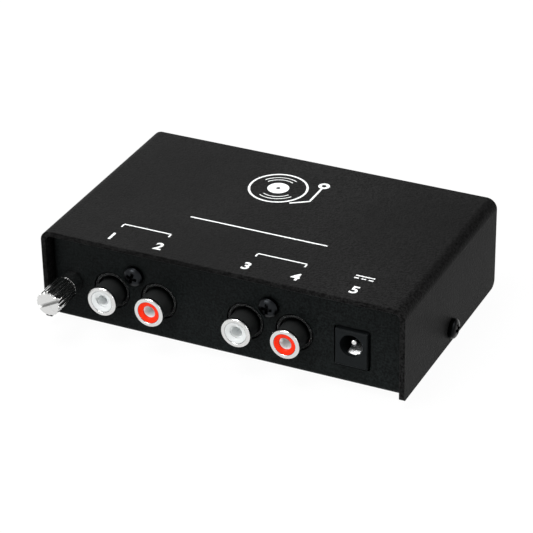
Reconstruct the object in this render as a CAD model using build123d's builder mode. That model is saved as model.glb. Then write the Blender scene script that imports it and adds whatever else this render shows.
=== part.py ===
from build123d import *
import os
from math import cos, radians, sin

os.makedirs("parts", exist_ok=True)

# A phono preamp: a folded sheet cover over a folded sheet chassis, with one circuit board on the
# chassis floor. The origin is on the table, below the middle of the whole object. +X is to the
# right along the socket panel, +Y goes from the socket panel to the rear, and +Z is up.

# ---------------------------------------------------------------- driving dimensions, in mm

# Cover, an inverted U of sheet
cover_width = 104.7
cover_depth = 64.8
cover_height = 27.0
cover_sheet = 1.5
cover_bend_radius = 1.5          # inside of the two long bends
cover_corner_radius = 2.5        # lower rear corners of the sides
cover_edge_break = 0.2           # broken edges of the front and rear rims

# Chassis, a U of thinner sheet the other way up: socket panel, floor and rear panel
chassis_sheet = 1.0
chassis_bend_radius = 0.5        # inside of its bends
panel_recess = 3.5               # socket panel behind the cover's front rim
rear_recess = 3.5                # rear panel in front of the cover's rear rim
panel_side_gap = 0.5
panel_top_gap = 0.3
cover_lift = 0.45                # cover's lower edge above the chassis underside

# Side tabs of the chassis, which the cover screws pull against
tab_length = 14.0
tab_height = 8.6
tab_relief = 1.0
tab_collar_radius = 2.4
tab_collar_length = 1.1
cover_screw_height = 4.4         # above the cover's lower edge

# Feet
foot_radius = 4.0
foot_height = 2.0
foot_inset_x = 15.0              # foot centre from the chassis sides
foot_inset_y = 9.0               # foot centre from the socket panel and rear panel
foot_edge_chamfer = 0.4

# Circuit board and what holds it
board_side_gap = 3.15            # board's short edges from the chassis sides
board_thickness = 1.6
board_front_gap = 0.8
board_rear_gap = 3.0
board_corner_radius = 1.5
board_support_height = 3.05      # seats pressed into the chassis floor
board_support_radius = 3.4
board_screw_inset = 3.5          # screw axis from the board's short edges
board_screw_row_gap = 34.0       # front row to rear row of board screws
lead_tail = 1.0                  # how far a lead stands out below the board
lead_clearance = 0.15            # between a lead and its hole in the board

# M3 screws and what they pass through
screw_radius = 1.45
tapped_radius = 1.5
screw_hole_radius = 1.7
pan_head_radius = 2.75
pan_head_height = 2.0
pan_side_height = 1.1            # upright side of the head, below its dome
recess_width = 0.95              # arm of the cross recess
recess_span = 3.0
recess_depth = 1.1
cover_screw_length = 4.5
socket_screw_length = 7.0
socket_screw_rise = 6.55         # above the socket axes
socket_screw_turns = [16.5, 3.0] # cross recess from level, input screw and output screw
board_screw_head_radius = 2.7
board_screw_head_height = 1.6
board_screw_tip_gap = 0.2        # screw tip above the chassis underside

# Signal sockets, two pairs of two
socket_pitch = 14.0
input_pair_inset = 26.1          # middle of the pair from the cover's left side
output_pair_inset = 39.2         # from its right side
socket_axis_height = 5.6         # above the board
socket_reach = 6.15              # shell's tip in front of the panel
socket_hole_radius = 5.35
socket_drop = 0.35               # socket axes below the centres of the panel holes
block_width = 24.6
block_depth = 9.5
block_shoulder = 5.3             # block's top above the socket axes
lug_radius = 3.6
lug_bore_depth = 8.0
boss_radius = 4.95               # round boss, in the middle of the panel hole
boss_recess = 0.2                # boss rim behind the panel's outer face
boss_rim_width = 0.25
boss_groove_width = 0.12
boss_groove_depth = 0.25
boss_well_radius = 4.4           # well around the nose, in the middle of the boss
boss_well_depth = 1.0
nose_radius = 3.95               # round nose of the block, behind the shell's ring
shell_ring_radius = 4.2
shell_ring_width = 1.1
shell_ring_chamfer = 0.35
shell_tube_radius = 3.4          # shell's tube inside the nose
shell_bore_radius = 3.1
shell_lip_chamfer = 0.15
shell_leg_width = 2.2
shell_leg_thickness = 0.5
shell_leg_setback = 4.0          # leg in front of the block's rear face
socket_fit = 0.05                # radial play between the nested pieces of a socket
insulator_setback = 0.15         # insulator's face behind the shell's tip
insulator_land = 0.25            # flat ring around the dish
insulator_mouth_radius = 1.75
insulator_dish_depth = 0.4
insulator_dish_radius = 2.2      # of its curved section
insulator_neck = 0.4             # between the dish and the contact
contact_bore_radius = 1.58
contact_wall = 0.25
contact_strip_width = 1.2
contact_strip_thickness = 0.4
contact_strip_gap = 0.4          # strip behind the block's rear face

# Power socket
power_inset = 15.85              # socket axis from the cover's right side
power_width = 9.0
power_height = 10.7
power_length = 14.0
power_axis_height = 6.35         # above the board
power_proud = 0.9                # face in front of the panel
power_cutout_gap = 0.6
power_cutout_radius = 1.0
power_bore_radius = 3.2
power_bore_depth = 10.0
power_pin_radius = 1.0
power_pin_round = 0.7            # rounded end of the pin
power_pin_setback = 1.6          # pin's tip behind the face
power_pin_tail = 0.8             # pin behind the housing
power_pin_strip_width = 1.6
power_edge_radius = 0.25
leaf_width = 4.0
leaf_thickness = 0.3
leaf_bend_radius = 0.5
leaf_slot_gap = 0.2              # each side of the leaf
leaf_front = 1.7                 # leaf's front lip behind the face
leaf_crown_start = 1.3           # flat crown of the leaf, from its lip
leaf_crown_end = 3.9
leaf_crown_rise = 0.5            # crown inside the bore's lowest line
leaf_lip_drop = 1.0
leaf_root = 12.0                 # leaf's leg behind the face
leaf_run_drop = 0.9              # leaf's run below the bore's lowest line
switch_gap = 0.05
switch_front = 5.2               # switch contact's leg behind the face
switch_pad_length = 2.4

# Ground terminal
terminal_inset = 7.2             # terminal axis from the cover's left side
terminal_rise = 0.55             # above the socket axes
post_collar_radius = 3.0
post_collar_length = 3.8
post_shank_radius = 2.5
post_shank_spare = 1.4           # thread past the nut
post_bore_radius = 1.55
post_hole_clearance = 0.1        # radial, in the panel and the tag
nut_fit = 0.05                   # radial, between the post and the nut
washer_radius = 3.15
washer_bore_radius = 1.6
washer_thickness = 0.5
thumbscrew_shank_radius = 1.5
thumbscrew_travel = 3.0          # how far the thumbscrew is screwed out of the post
thumbscrew_hold = 6.0            # shank still in the post then
knurl_radius = 3.45
knurl_length = 9.4
knurl_flutes = 22
knurl_flute_depth = 0.32
knurl_front_chamfer = 0.35
knurl_rear_chamfer = 0.4
slot_width = 1.0
slot_depth = 1.2
slot_angle = 27.7
nut_across_flats = 8.0
nut_thickness = 3.0
tag_radius = 4.0
tag_thickness = 0.5
tag_leg_width = 2.0
tag_leg_setback = 2.0            # leg's lower end behind the ring
tag_upper_bend = 1.5             # bends of the leg, above the board
tag_lower_bend = 0.5
tag_bend_radius = 0.8

# Parts on the board
chip_length = 4.9
chip_width = 3.9
chip_height = 1.45
chip_standoff = 0.1
chip_leg_shoulder = 0.35         # bends and foot of a leg, from the chip's side
chip_leg_heel = 0.55
chip_leg_reach = 1.05
chip_leg_width = 0.42
chip_leg_thickness = 0.2
chip_leg_pitch = 1.27
smoothing_radius = 5.0
smoothing_height = 16.0
smoothing_inset = 12.5           # axes from the board's right edge
coupling_radius = 3.15
coupling_height = 11.0
coupling_inset = 6.5             # axes of the left ones from the board's left edge
film_length = 7.2
film_width = 3.5
film_height = 8.0
film_edge_chamfer = 0.4
resistor_radius = 1.15
resistor_length = 6.2
axial_lead_pitch = 10.0          # resistors and diode
axial_lead_width = 0.6
axial_lift = 0.2
regulator_radius = 2.4
regulator_flat = 1.6             # flat face from the axis
regulator_height = 4.8
regulator_lift = 2.5
regulator_lead_pitch = 1.4
regulator_lead_width = 0.5
diode_radius = 1.35
diode_length = 5.0

# ---------------------------------------------------------------- places that follow from them

terminal_overhang = post_collar_length + washer_thickness + knurl_length - panel_recess
cover_front_y = -(cover_depth + terminal_overhang) / 2 + terminal_overhang
cover_rear_y = cover_front_y + cover_depth
case_mid_y = (cover_front_y + cover_rear_y) / 2
panel_y = cover_front_y + panel_recess
panel_inner_y = panel_y + chassis_sheet
rear_panel_y = cover_rear_y - rear_recess
rear_panel_inner_y = rear_panel_y - chassis_sheet

chassis_bottom_z = foot_height
floor_z = chassis_bottom_z + chassis_sheet
cover_bottom_z = chassis_bottom_z + cover_lift
cover_top_z = cover_bottom_z + cover_height
cover_inner_z = cover_top_z - cover_sheet
cover_inner_x = cover_width / 2 - cover_sheet
cover_outer_bend = cover_bend_radius + cover_sheet
chassis_width = 2 * (cover_inner_x - panel_side_gap)
chassis_outer_bend = chassis_bend_radius + chassis_sheet
cover_screw_z = cover_bottom_z + cover_screw_height

board_width = chassis_width - 2 * board_side_gap
board_bottom_z = floor_z + board_support_height
board_top_z = board_bottom_z + board_thickness
board_front_y = panel_inner_y + board_front_gap
board_depth = rear_panel_inner_y - board_rear_gap - board_front_y
board_mid_y = board_front_y + board_depth / 2
lead_end_z = board_bottom_z - lead_tail

socket_z = board_top_z + socket_axis_height
socket_hole_z = socket_z + socket_drop
socket_screw_z = socket_z + socket_screw_rise
socket_tip_y = panel_y - socket_reach
ring_rear_y = socket_tip_y + shell_ring_width
block_rear_y = panel_inner_y + block_depth
shell_leg_y = block_rear_y - shell_leg_setback
contact_radius = contact_bore_radius + contact_wall
contact_strip_y = block_rear_y + contact_strip_gap
insulator_radius = shell_bore_radius - socket_fit
contact_front_y = socket_tip_y + insulator_setback + insulator_dish_depth + insulator_neck

power_z = board_top_z + power_axis_height
power_face_y = panel_y - power_proud
power_rear_y = power_face_y + power_length
power_strip_y = power_rear_y + power_pin_tail
leaf_leg_y = power_face_y + leaf_root
switch_leg_y = power_face_y + switch_front
bore_low_z = power_z - power_bore_radius
leaf_run_z = bore_low_z - leaf_run_drop

terminal_z = socket_z + terminal_rise
post_front_y = panel_y - post_collar_length
head_rear_y = post_front_y - washer_thickness
thumbscrew_shank_length = washer_thickness + thumbscrew_travel + thumbscrew_hold
head_front_y = head_rear_y - knurl_length
tag_leg_y = panel_inner_y + tag_leg_setback

terminal_x = terminal_inset - cover_width / 2
power_x = cover_width / 2 - power_inset
input_pair_x = input_pair_inset - cover_width / 2
output_pair_x = cover_width / 2 - output_pair_inset
input_left_x = input_pair_x - socket_pitch / 2
input_right_x = input_pair_x + socket_pitch / 2
output_left_x = output_pair_x - socket_pitch / 2
output_right_x = output_pair_x + socket_pitch / 2
socket_xs = [input_left_x, input_right_x, output_left_x, output_right_x]

# Parts on the board, as (x, y) from the board's middle
smoothing_x = board_width / 2 - smoothing_inset
coupling_x = coupling_inset - board_width / 2
resistor_columns = [-16.0, -2.0]
resistor_rows = [-5.0, 1.0, 7.0]
chip_spots = [(-26.0, 2.0), (10.0, 2.0)]
smoothing_spots = [(smoothing_x, 1.0), (smoothing_x, 14.0)]
coupling_spots = [(coupling_x, 6.0), (coupling_x, -3.0), (18.0, 4.0), (18.0, -4.0)]
film_spots = [(-31.0, 14.0), (-20.0, 14.0), (3.0, 14.0), (14.0, 14.0)]
resistor_spots = [(x, y) for x in resistor_columns for y in resistor_rows]
regulator_spots = [(20.0, 20.0), (11.0, 20.0)]
diode_spot = (30.0, -8.0)


# ---------------------------------------------------------------- shared ways of making a form


def front_plane(y):
    """The upright plane at y that looks to the front: its x is X, its y is Z."""
    return Plane.XZ.offset(-y)


def side_plane(x):
    """The upright plane at x that looks to the right: its x is Y, its y is Z."""
    return Plane.YZ.offset(x)


def board_place(spot):
    """A place on the board, given from the board's middle."""
    return (spot[0], board_mid_y + spot[1])


def pan_screw(seat, length):
    """A pan-head screw with a cross recess. Its head stands on the seat plane, along its normal."""
    section_plane = Plane(origin=seat.origin, x_dir=seat.x_dir, z_dir=-seat.y_dir)
    with BuildPart() as screw:
        with BuildSketch(section_plane):
            with BuildLine():
                dome = TangentArc(
                    (0, pan_head_height),
                    (pan_head_radius, pan_side_height),
                    tangent=(1, 0),
                )
                Polyline(
                    dome @ 1,
                    (pan_head_radius, 0),
                    (screw_radius, 0),
                    (screw_radius, -length),
                    (0, -length),
                    dome @ 0,
                )
            make_face()
        revolve(axis=Axis(seat.origin, seat.z_dir))
        with BuildSketch(seat.offset(pan_head_height)):
            Rectangle(recess_span, recess_width)
            Rectangle(recess_width, recess_span)
        extrude(amount=-recess_depth, mode=Mode.SUBTRACT)
    return screw.part


# ---------------------------------------------------------------- cover

with BuildPart() as cover:
    with BuildSketch(front_plane(cover_rear_y)):
        with BuildLine():
            FilletPolyline(
                (-cover_width / 2, cover_bottom_z),
                (-cover_width / 2, cover_top_z),
                (cover_width / 2, cover_top_z),
                (cover_width / 2, cover_bottom_z),
                radius=cover_outer_bend,
            )
            offset(amount=cover_sheet, side=Side.RIGHT)
        make_face()
    extrude(amount=cover_depth)
    lower_edges = cover.edges().filter_by(Axis.X).group_by(Axis.Z)[0]
    fillet(lower_edges.group_by(Axis.Y)[-1], cover_corner_radius)
    front_rim = cover.faces().sort_by(Axis.Y)[0]
    rear_rim = cover.faces().sort_by(Axis.Y)[-1]
    chamfer(front_rim.edges() + rear_rim.edges(), cover_edge_break)
    with BuildSketch(side_plane(-cover_width / 2)):
        with Locations((case_mid_y, cover_screw_z)):
            Circle(screw_hole_radius)
    extrude(amount=cover_width, mode=Mode.SUBTRACT)

cover.part.label = "cover"
export_step(cover.part, "parts/cover.step")

# ---------------------------------------------------------------- chassis

board_screw_x_gap = board_width - 2 * board_screw_inset

with BuildPart() as chassis:
    # Socket panel, floor and rear panel are one strip of sheet with two bends
    with BuildSketch(side_plane(-chassis_width / 2)):
        with BuildLine():
            FilletPolyline(
                (panel_y, cover_inner_z - panel_top_gap),
                (panel_y, chassis_bottom_z),
                (rear_panel_y, chassis_bottom_z),
                (rear_panel_y, cover_inner_z - panel_top_gap),
                radius=chassis_outer_bend,
            )
            offset(amount=chassis_sheet, side=Side.LEFT)
        make_face()
    extrude(amount=chassis_width)
    # The upper corners of both panels clear the cover's bends
    upper_corners = chassis.edges().filter_by(Axis.Y).group_by(Axis.Z)[-1]
    fillet(upper_corners, cover_bend_radius)

    # A tab on each side, folded up against the cover, with a drawn and tapped collar
    with BuildSketch(front_plane(case_mid_y - tab_length / 2)):
        with BuildLine():
            FilletPolyline(
                (cover_inner_x - 2 * chassis_outer_bend, chassis_bottom_z),
                (cover_inner_x, chassis_bottom_z),
                (cover_inner_x, chassis_bottom_z + tab_height),
                radius=chassis_outer_bend,
            )
            offset(amount=chassis_sheet, side=Side.LEFT)
        make_face()
    extrude(amount=-tab_length)
    with BuildSketch(side_plane(cover_inner_x - chassis_sheet - tab_collar_length)):
        with Locations((case_mid_y, cover_screw_z)):
            Circle(tab_collar_radius)
    extrude(amount=tab_collar_length)
    with BuildSketch(side_plane(cover_inner_x)):
        with Locations((case_mid_y, cover_screw_z)):
            Circle(tapped_radius)
    extrude(amount=-(chassis_sheet + tab_collar_length), mode=Mode.SUBTRACT)
    with BuildSketch(Plane.XY.offset(chassis_bottom_z)):
        with Locations((cover_inner_x - chassis_outer_bend, case_mid_y)):
            with GridLocations(0, tab_length + tab_relief, 1, 2):
                Rectangle(chassis_outer_bend, tab_relief, align=(Align.MIN, Align.CENTER))
    extrude(amount=chassis_sheet, mode=Mode.SUBTRACT)
    split(bisect_by=Plane.YZ, keep=Keep.TOP)
    mirror(about=Plane.YZ)

    # Openings in the socket panel
    with BuildSketch(front_plane(panel_y)):
        with Locations(*[(x, socket_hole_z) for x in socket_xs]):
            Circle(socket_hole_radius)
        with Locations((input_pair_x, socket_screw_z), (output_pair_x, socket_screw_z)):
            Circle(screw_hole_radius)
        with Locations((terminal_x, terminal_z)):
            Circle(post_shank_radius + post_hole_clearance)
        with Locations((power_x, board_top_z + power_height / 2)):
            RectangleRounded(
                power_width + 2 * power_cutout_gap,
                power_height + 2 * power_cutout_gap,
                power_cutout_radius,
            )
    extrude(amount=-chassis_sheet, mode=Mode.SUBTRACT)

    # Board seats, pressed into the floor and tapped
    with BuildSketch(Plane.XY.offset(floor_z)):
        with Locations((0, board_mid_y)):
            with GridLocations(board_screw_x_gap, board_screw_row_gap, 2, 2):
                Circle(board_support_radius)
    extrude(amount=board_support_height)
    with BuildSketch(Plane.XY.offset(chassis_bottom_z)):
        with Locations((0, board_mid_y)):
            with GridLocations(board_screw_x_gap, board_screw_row_gap, 2, 2):
                Circle(tapped_radius)
    extrude(amount=chassis_sheet + board_support_height, mode=Mode.SUBTRACT)

chassis.part.label = "chassis"
export_step(chassis.part, "parts/chassis.step")

# ---------------------------------------------------------------- cover screws and feet

with BuildPart() as cover_screws:
    for side in (-1, 1):
        seat_centre = (side * cover_width / 2, case_mid_y, cover_screw_z)
        seat = Plane(origin=seat_centre, x_dir=(0, 1, 0), z_dir=(side, 0, 0))
        add(pan_screw(seat, cover_screw_length))

cover_screws.part.label = "cover_screws"
export_step(cover_screws.part, "parts/cover_screws.step")

foot_x_gap = chassis_width - 2 * foot_inset_x
foot_y_gap = rear_panel_y - panel_y - 2 * foot_inset_y

with BuildPart() as rubber_feet:
    with BuildSketch():
        with Locations((0, (panel_y + rear_panel_y) / 2)):
            with GridLocations(foot_x_gap, foot_y_gap, 2, 2):
                Circle(foot_radius)
    extrude(amount=foot_height)
    chamfer(rubber_feet.edges().group_by(Axis.Z)[0], foot_edge_chamfer)

rubber_feet.part.label = "rubber_feet"
export_step(rubber_feet.part, "parts/rubber_feet.step")

# ---------------------------------------------------------------- signal sockets


def socket_block(pair_x):
    """The black moulding: a round nose for each of two sockets, and the screw lug between them."""
    axes = [(pair_x - socket_pitch / 2, socket_z), (pair_x + socket_pitch / 2, socket_z)]
    bosses = [(x, socket_hole_z) for x, z in axes]
    boss_length = chassis_sheet - boss_recess
    with BuildPart() as block:
        with BuildSketch(front_plane(panel_inner_y)):
            with Locations((pair_x, board_top_z)):
                Rectangle(
                    block_width,
                    socket_axis_height + block_shoulder,
                    align=(Align.CENTER, Align.MIN),
                )
            with Locations((pair_x, socket_z)):
                Rectangle(2 * lug_radius, socket_screw_rise, align=(Align.CENTER, Align.MIN))
            with Locations((pair_x, socket_screw_z)):
                Circle(lug_radius)
        extrude(amount=-block_depth)
        with BuildSketch(front_plane(panel_inner_y)):
            with Locations(*bosses):
                Circle(boss_radius)
        extrude(amount=boss_length)
        # A groove inside the rim, then a well around the nose
        with BuildSketch(front_plane(panel_inner_y - boss_length)):
            with Locations(*bosses):
                Circle(boss_radius - boss_rim_width)
                Circle(boss_radius - boss_rim_width - boss_groove_width, mode=Mode.SUBTRACT)
        extrude(amount=-boss_groove_depth, mode=Mode.SUBTRACT)
        with BuildSketch(front_plane(panel_inner_y - boss_length)):
            with Locations(*bosses):
                Circle(boss_well_radius)
        extrude(amount=-boss_well_depth, mode=Mode.SUBTRACT)
        with BuildSketch(front_plane(ring_rear_y)):
            with Locations(*axes):
                Circle(nose_radius)
        extrude(amount=ring_rear_y - block_rear_y)
        with BuildSketch(front_plane(ring_rear_y)):
            with Locations(*axes):
                Circle(shell_tube_radius + socket_fit)
        extrude(amount=ring_rear_y - block_rear_y, mode=Mode.SUBTRACT)
        # Slots that let the shells' legs in from the rear
        with BuildSketch(Plane.XY.offset(board_top_z)):
            with Locations(*[(x, block_rear_y) for x, z in axes]):
                Rectangle(
                    shell_leg_width + 2 * lead_clearance,
                    shell_leg_setback + lead_clearance,
                    align=(Align.CENTER, Align.MAX),
                )
        extrude(amount=socket_axis_height, mode=Mode.SUBTRACT)
        with BuildSketch(front_plane(panel_inner_y)):
            with Locations((pair_x, socket_screw_z)):
                Circle(tapped_radius)
        extrude(amount=-lug_bore_depth, mode=Mode.SUBTRACT)
    return block.part


def socket_shell(x):
    """A plated shell: ring, a tube that lines the nose, and a leg through the board."""
    with BuildPart() as shell:
        with BuildSketch(side_plane(x)):
            with BuildLine():
                Polyline(
                    (socket_tip_y, socket_z + shell_bore_radius),
                    (socket_tip_y, socket_z + shell_ring_radius),
                    (ring_rear_y, socket_z + shell_ring_radius),
                    (ring_rear_y, socket_z + shell_tube_radius),
                    (block_rear_y, socket_z + shell_tube_radius),
                    (block_rear_y, socket_z + shell_bore_radius),
                    close=True,
                )
            face = make_face()
            front_corners = face.vertices().group_by(Axis.X)[0].sort_by(Axis.Y)
            chamfer(front_corners[0], shell_lip_chamfer)
            chamfer(front_corners[-1], shell_ring_chamfer)
        revolve(axis=Axis((x, 0, socket_z), (0, 1, 0)))
        with BuildSketch(Plane.XY.offset(lead_end_z)):
            with Locations((x, shell_leg_y)):
                Rectangle(shell_leg_width, shell_leg_thickness, align=(Align.CENTER, Align.MIN))
        extrude(amount=socket_z - shell_bore_radius - socket_fit - lead_end_z)
    return shell.part


def socket_insulator(x):
    """The coloured insulator: a flat ring, a shallow dish and a hole for the plug's pin."""
    face_y = socket_tip_y + insulator_setback
    neck_y = face_y + insulator_dish_depth
    dish_rim_radius = insulator_radius - insulator_land
    with BuildPart() as insulator:
        with BuildSketch(side_plane(x)):
            with BuildLine():
                dish = RadiusArc(
                    (face_y, socket_z + dish_rim_radius),
                    (neck_y, socket_z + insulator_mouth_radius),
                    -insulator_dish_radius,
                )
                Polyline(
                    dish @ 1,
                    (contact_front_y, socket_z + insulator_mouth_radius),
                    (contact_front_y, socket_z + contact_radius + socket_fit),
                    (block_rear_y, socket_z + contact_radius + socket_fit),
                    (block_rear_y, socket_z + insulator_radius),
                    (face_y, socket_z + insulator_radius),
                    dish @ 0,
                )
            make_face()
        revolve(axis=Axis((x, 0, socket_z), (0, 1, 0)))
    return insulator.part


def socket_contact(x):
    """The centre contact: a sleeve for the plug's pin and a strip down to the board."""
    with BuildPart() as contact:
        with BuildSketch(front_plane(contact_front_y)):
            with Locations((x, socket_z)):
                Circle(contact_radius)
                Circle(contact_bore_radius, mode=Mode.SUBTRACT)
        extrude(amount=contact_front_y - contact_strip_y - contact_strip_thickness)
        with BuildSketch(front_plane(contact_strip_y)):
            with Locations((x, socket_z)):
                Circle(contact_radius)
            with Locations((x, lead_end_z)):
                Rectangle(contact_strip_width, socket_z - lead_end_z, align=(Align.CENTER, Align.MIN))
        extrude(amount=-contact_strip_thickness)
    return contact.part


for name, pair_x in (("input", input_pair_x), ("output", output_pair_x)):
    block = socket_block(pair_x)
    block.label = f"{name}_socket_block"
    export_step(block, f"parts/{block.label}.step")

    for side, x in (("left", pair_x - socket_pitch / 2), ("right", pair_x + socket_pitch / 2)):
        shell = socket_shell(x)
        shell.label = f"{name}_{side}_shell"
        export_step(shell, f"parts/{shell.label}.step")

        insulator = socket_insulator(x)
        insulator.label = f"{name}_{side}_insulator"
        export_step(insulator, f"parts/{insulator.label}.step")

        contact = socket_contact(x)
        contact.label = f"{name}_{side}_contact"
        export_step(contact, f"parts/{contact.label}.step")

with BuildPart() as socket_screws:
    for pair_x, turn in zip((input_pair_x, output_pair_x), socket_screw_turns):
        arm_direction = (cos(radians(turn)), 0, -sin(radians(turn)))
        seat = Plane(origin=(pair_x, panel_y, socket_screw_z), x_dir=arm_direction, z_dir=(0, -1, 0))
        add(pan_screw(seat, socket_screw_length))

socket_screws.part.label = "socket_screws"
export_step(socket_screws.part, "parts/socket_screws.step")

# ---------------------------------------------------------------- power socket

with BuildPart() as power_socket_housing:
    with BuildSketch(front_plane(power_face_y)):
        with Locations((power_x, board_top_z)):
            Rectangle(power_width, power_height, align=(Align.CENTER, Align.MIN))
    extrude(amount=-power_length)
    chamfer(power_socket_housing.faces().sort_by(Axis.Y)[0].edges(), power_edge_radius)
    with BuildSketch(front_plane(power_face_y)):
        with Locations((power_x, power_z)):
            Circle(power_bore_radius)
    extrude(amount=-power_bore_depth, mode=Mode.SUBTRACT)
    with BuildSketch(front_plane(power_face_y)):
        with Locations((power_x, power_z)):
            Circle(power_pin_radius + socket_fit)
    extrude(amount=-power_length, mode=Mode.SUBTRACT)
    # A slot under the bore for the spring leaf and the switch contact
    with BuildSketch(Plane.XY.offset(board_top_z)):
        with Locations((power_x, power_face_y + leaf_front - leaf_slot_gap)):
            Rectangle(
                leaf_width + 2 * leaf_slot_gap,
                leaf_root - leaf_front + leaf_thickness + 2 * leaf_slot_gap,
                align=(Align.CENTER, Align.MIN),
            )
    extrude(amount=power_axis_height - power_bore_radius + leaf_crown_rise, mode=Mode.SUBTRACT)

power_socket_housing.part.label = "power_socket_housing"
export_step(power_socket_housing.part, "parts/power_socket_housing.step")

with BuildPart() as power_socket_pin:
    with BuildSketch(front_plane(power_face_y + power_pin_setback)):
        with Locations((power_x, power_z)):
            Circle(power_pin_radius)
    extrude(amount=-(power_length - power_pin_setback + power_pin_tail))
    fillet(power_socket_pin.edges().group_by(Axis.Y)[0], power_pin_round)
    with BuildSketch(front_plane(power_strip_y)):
        with Locations((power_x, power_z)):
            Circle(power_pin_radius)
        with Locations((power_x, lead_end_z)):
            Rectangle(power_pin_strip_width, power_z - lead_end_z, align=(Align.CENTER, Align.MIN))
    extrude(amount=-contact_strip_thickness)

power_socket_pin.part.label = "power_socket_pin"
export_step(power_socket_pin.part, "parts/power_socket_pin.step")

with BuildPart() as power_socket_leaf:
    with BuildSketch(side_plane(power_x - leaf_width / 2)):
        with BuildLine():
            lip_y = power_face_y + leaf_front
            crown_z = bore_low_z + leaf_crown_rise
            FilletPolyline(
                (lip_y, crown_z - leaf_lip_drop),
                (lip_y + leaf_crown_start, crown_z),
                (lip_y + leaf_crown_end, crown_z),
                (leaf_leg_y, leaf_run_z),
                (leaf_leg_y, lead_end_z),
                radius=leaf_bend_radius,
            )
            offset(amount=leaf_thickness, side=Side.RIGHT)
        make_face()
    extrude(amount=leaf_width)

power_socket_leaf.part.label = "power_socket_leaf"
export_step(power_socket_leaf.part, "parts/power_socket_leaf.step")

with BuildPart() as power_socket_switch:
    with BuildSketch(side_plane(power_x - leaf_width / 4)):
        with BuildLine():
            pad_z = leaf_run_z - leaf_thickness - switch_gap
            FilletPolyline(
                (switch_leg_y, lead_end_z),
                (switch_leg_y, pad_z),
                (switch_leg_y + switch_pad_length, pad_z),
                radius=leaf_bend_radius,
            )
            offset(amount=leaf_thickness, side=Side.RIGHT)
        make_face()
    extrude(amount=leaf_width / 2)

power_socket_switch.part.label = "power_socket_switch"
export_step(power_socket_switch.part, "parts/power_socket_switch.step")

# ---------------------------------------------------------------- ground terminal

post_shank_length = chassis_sheet + tag_thickness + nut_thickness + post_shank_spare

with BuildPart() as ground_post:
    with BuildSketch(front_plane(panel_y)):
        with Locations((terminal_x, terminal_z)):
            Circle(post_collar_radius)
    extrude(amount=post_collar_length)
    with BuildSketch(front_plane(panel_y)):
        with Locations((terminal_x, terminal_z)):
            Circle(post_shank_radius)
    extrude(amount=-post_shank_length)
    with BuildSketch(front_plane(post_front_y)):
        with Locations((terminal_x, terminal_z)):
            Circle(post_bore_radius)
    extrude(amount=-(post_collar_length + post_shank_length), mode=Mode.SUBTRACT)

ground_post.part.label = "ground_post"
export_step(ground_post.part, "parts/ground_post.step")

with BuildPart() as ground_washer:
    with BuildSketch(front_plane(post_front_y)):
        with Locations((terminal_x, terminal_z)):
            Circle(washer_radius)
            Circle(washer_bore_radius, mode=Mode.SUBTRACT)
    extrude(amount=washer_thickness)

ground_washer.part.label = "ground_washer"
export_step(ground_washer.part, "parts/ground_washer.step")

with BuildPart() as ground_thumbscrew:
    # The fluted head, with its ends broken by a turned outline
    with BuildSketch(front_plane(head_rear_y)):
        with Locations((terminal_x, terminal_z)):
            Circle(knurl_radius)
            with PolarLocations(knurl_radius, knurl_flutes):
                flute_side = 2**0.5 * knurl_flute_depth
                Rectangle(flute_side, flute_side, rotation=45, mode=Mode.SUBTRACT)
    extrude(amount=knurl_length)
    with BuildSketch(side_plane(terminal_x)):
        with BuildLine():
            Polyline(
                (head_front_y, terminal_z),
                (head_front_y, terminal_z + knurl_radius - knurl_front_chamfer),
                (head_front_y + knurl_front_chamfer, terminal_z + knurl_radius),
                (head_rear_y - knurl_rear_chamfer, terminal_z + knurl_radius),
                (head_rear_y, terminal_z + knurl_radius - knurl_rear_chamfer),
                (head_rear_y, terminal_z),
                close=True,
            )
        make_face()
    revolve(axis=Axis((terminal_x, 0, terminal_z), (0, 1, 0)), mode=Mode.INTERSECT)
    with BuildSketch(front_plane(head_front_y)):
        with Locations((terminal_x, terminal_z)):
            Rectangle(3 * knurl_radius, slot_width, rotation=slot_angle)
    extrude(amount=-slot_depth, mode=Mode.SUBTRACT)
    with BuildSketch(front_plane(head_rear_y)):
        with Locations((terminal_x, terminal_z)):
            Circle(thumbscrew_shank_radius)
    extrude(amount=-thumbscrew_shank_length)

ground_thumbscrew.part.label = "ground_thumbscrew"
export_step(ground_thumbscrew.part, "parts/ground_thumbscrew.step")

with BuildPart() as ground_tag:
    with BuildSketch(front_plane(panel_inner_y)):
        with Locations((terminal_x, terminal_z)):
            Circle(tag_radius)
            Rectangle(tag_leg_width, tag_radius, align=(Align.CENTER, Align.MAX))
            Circle(post_shank_radius + post_hole_clearance, mode=Mode.SUBTRACT)
    extrude(amount=-tag_thickness)
    with BuildSketch(side_plane(terminal_x - tag_leg_width / 2)):
        with BuildLine():
            FilletPolyline(
                (panel_inner_y, terminal_z - tag_radius + tag_thickness),
                (panel_inner_y, board_top_z + tag_upper_bend),
                (tag_leg_y, board_top_z + tag_lower_bend),
                (tag_leg_y, lead_end_z),
                radius=tag_bend_radius,
            )
            offset(amount=tag_thickness, side=Side.LEFT)
        make_face()
    extrude(amount=tag_leg_width)

ground_tag.part.label = "ground_tag"
export_step(ground_tag.part, "parts/ground_tag.step")

with BuildPart() as ground_nut:
    nut_y = panel_inner_y + tag_thickness
    nut_corner_radius = nut_across_flats / 2 / cos(radians(30))
    with BuildSketch(front_plane(nut_y)):
        with Locations((terminal_x, terminal_z)):
            RegularPolygon(nut_corner_radius, 6)
            Circle(post_shank_radius + nut_fit, mode=Mode.SUBTRACT)
    extrude(amount=-nut_thickness)

ground_nut.part.label = "ground_nut"
export_step(ground_nut.part, "parts/ground_nut.step")

# ---------------------------------------------------------------- parts on the board


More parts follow.
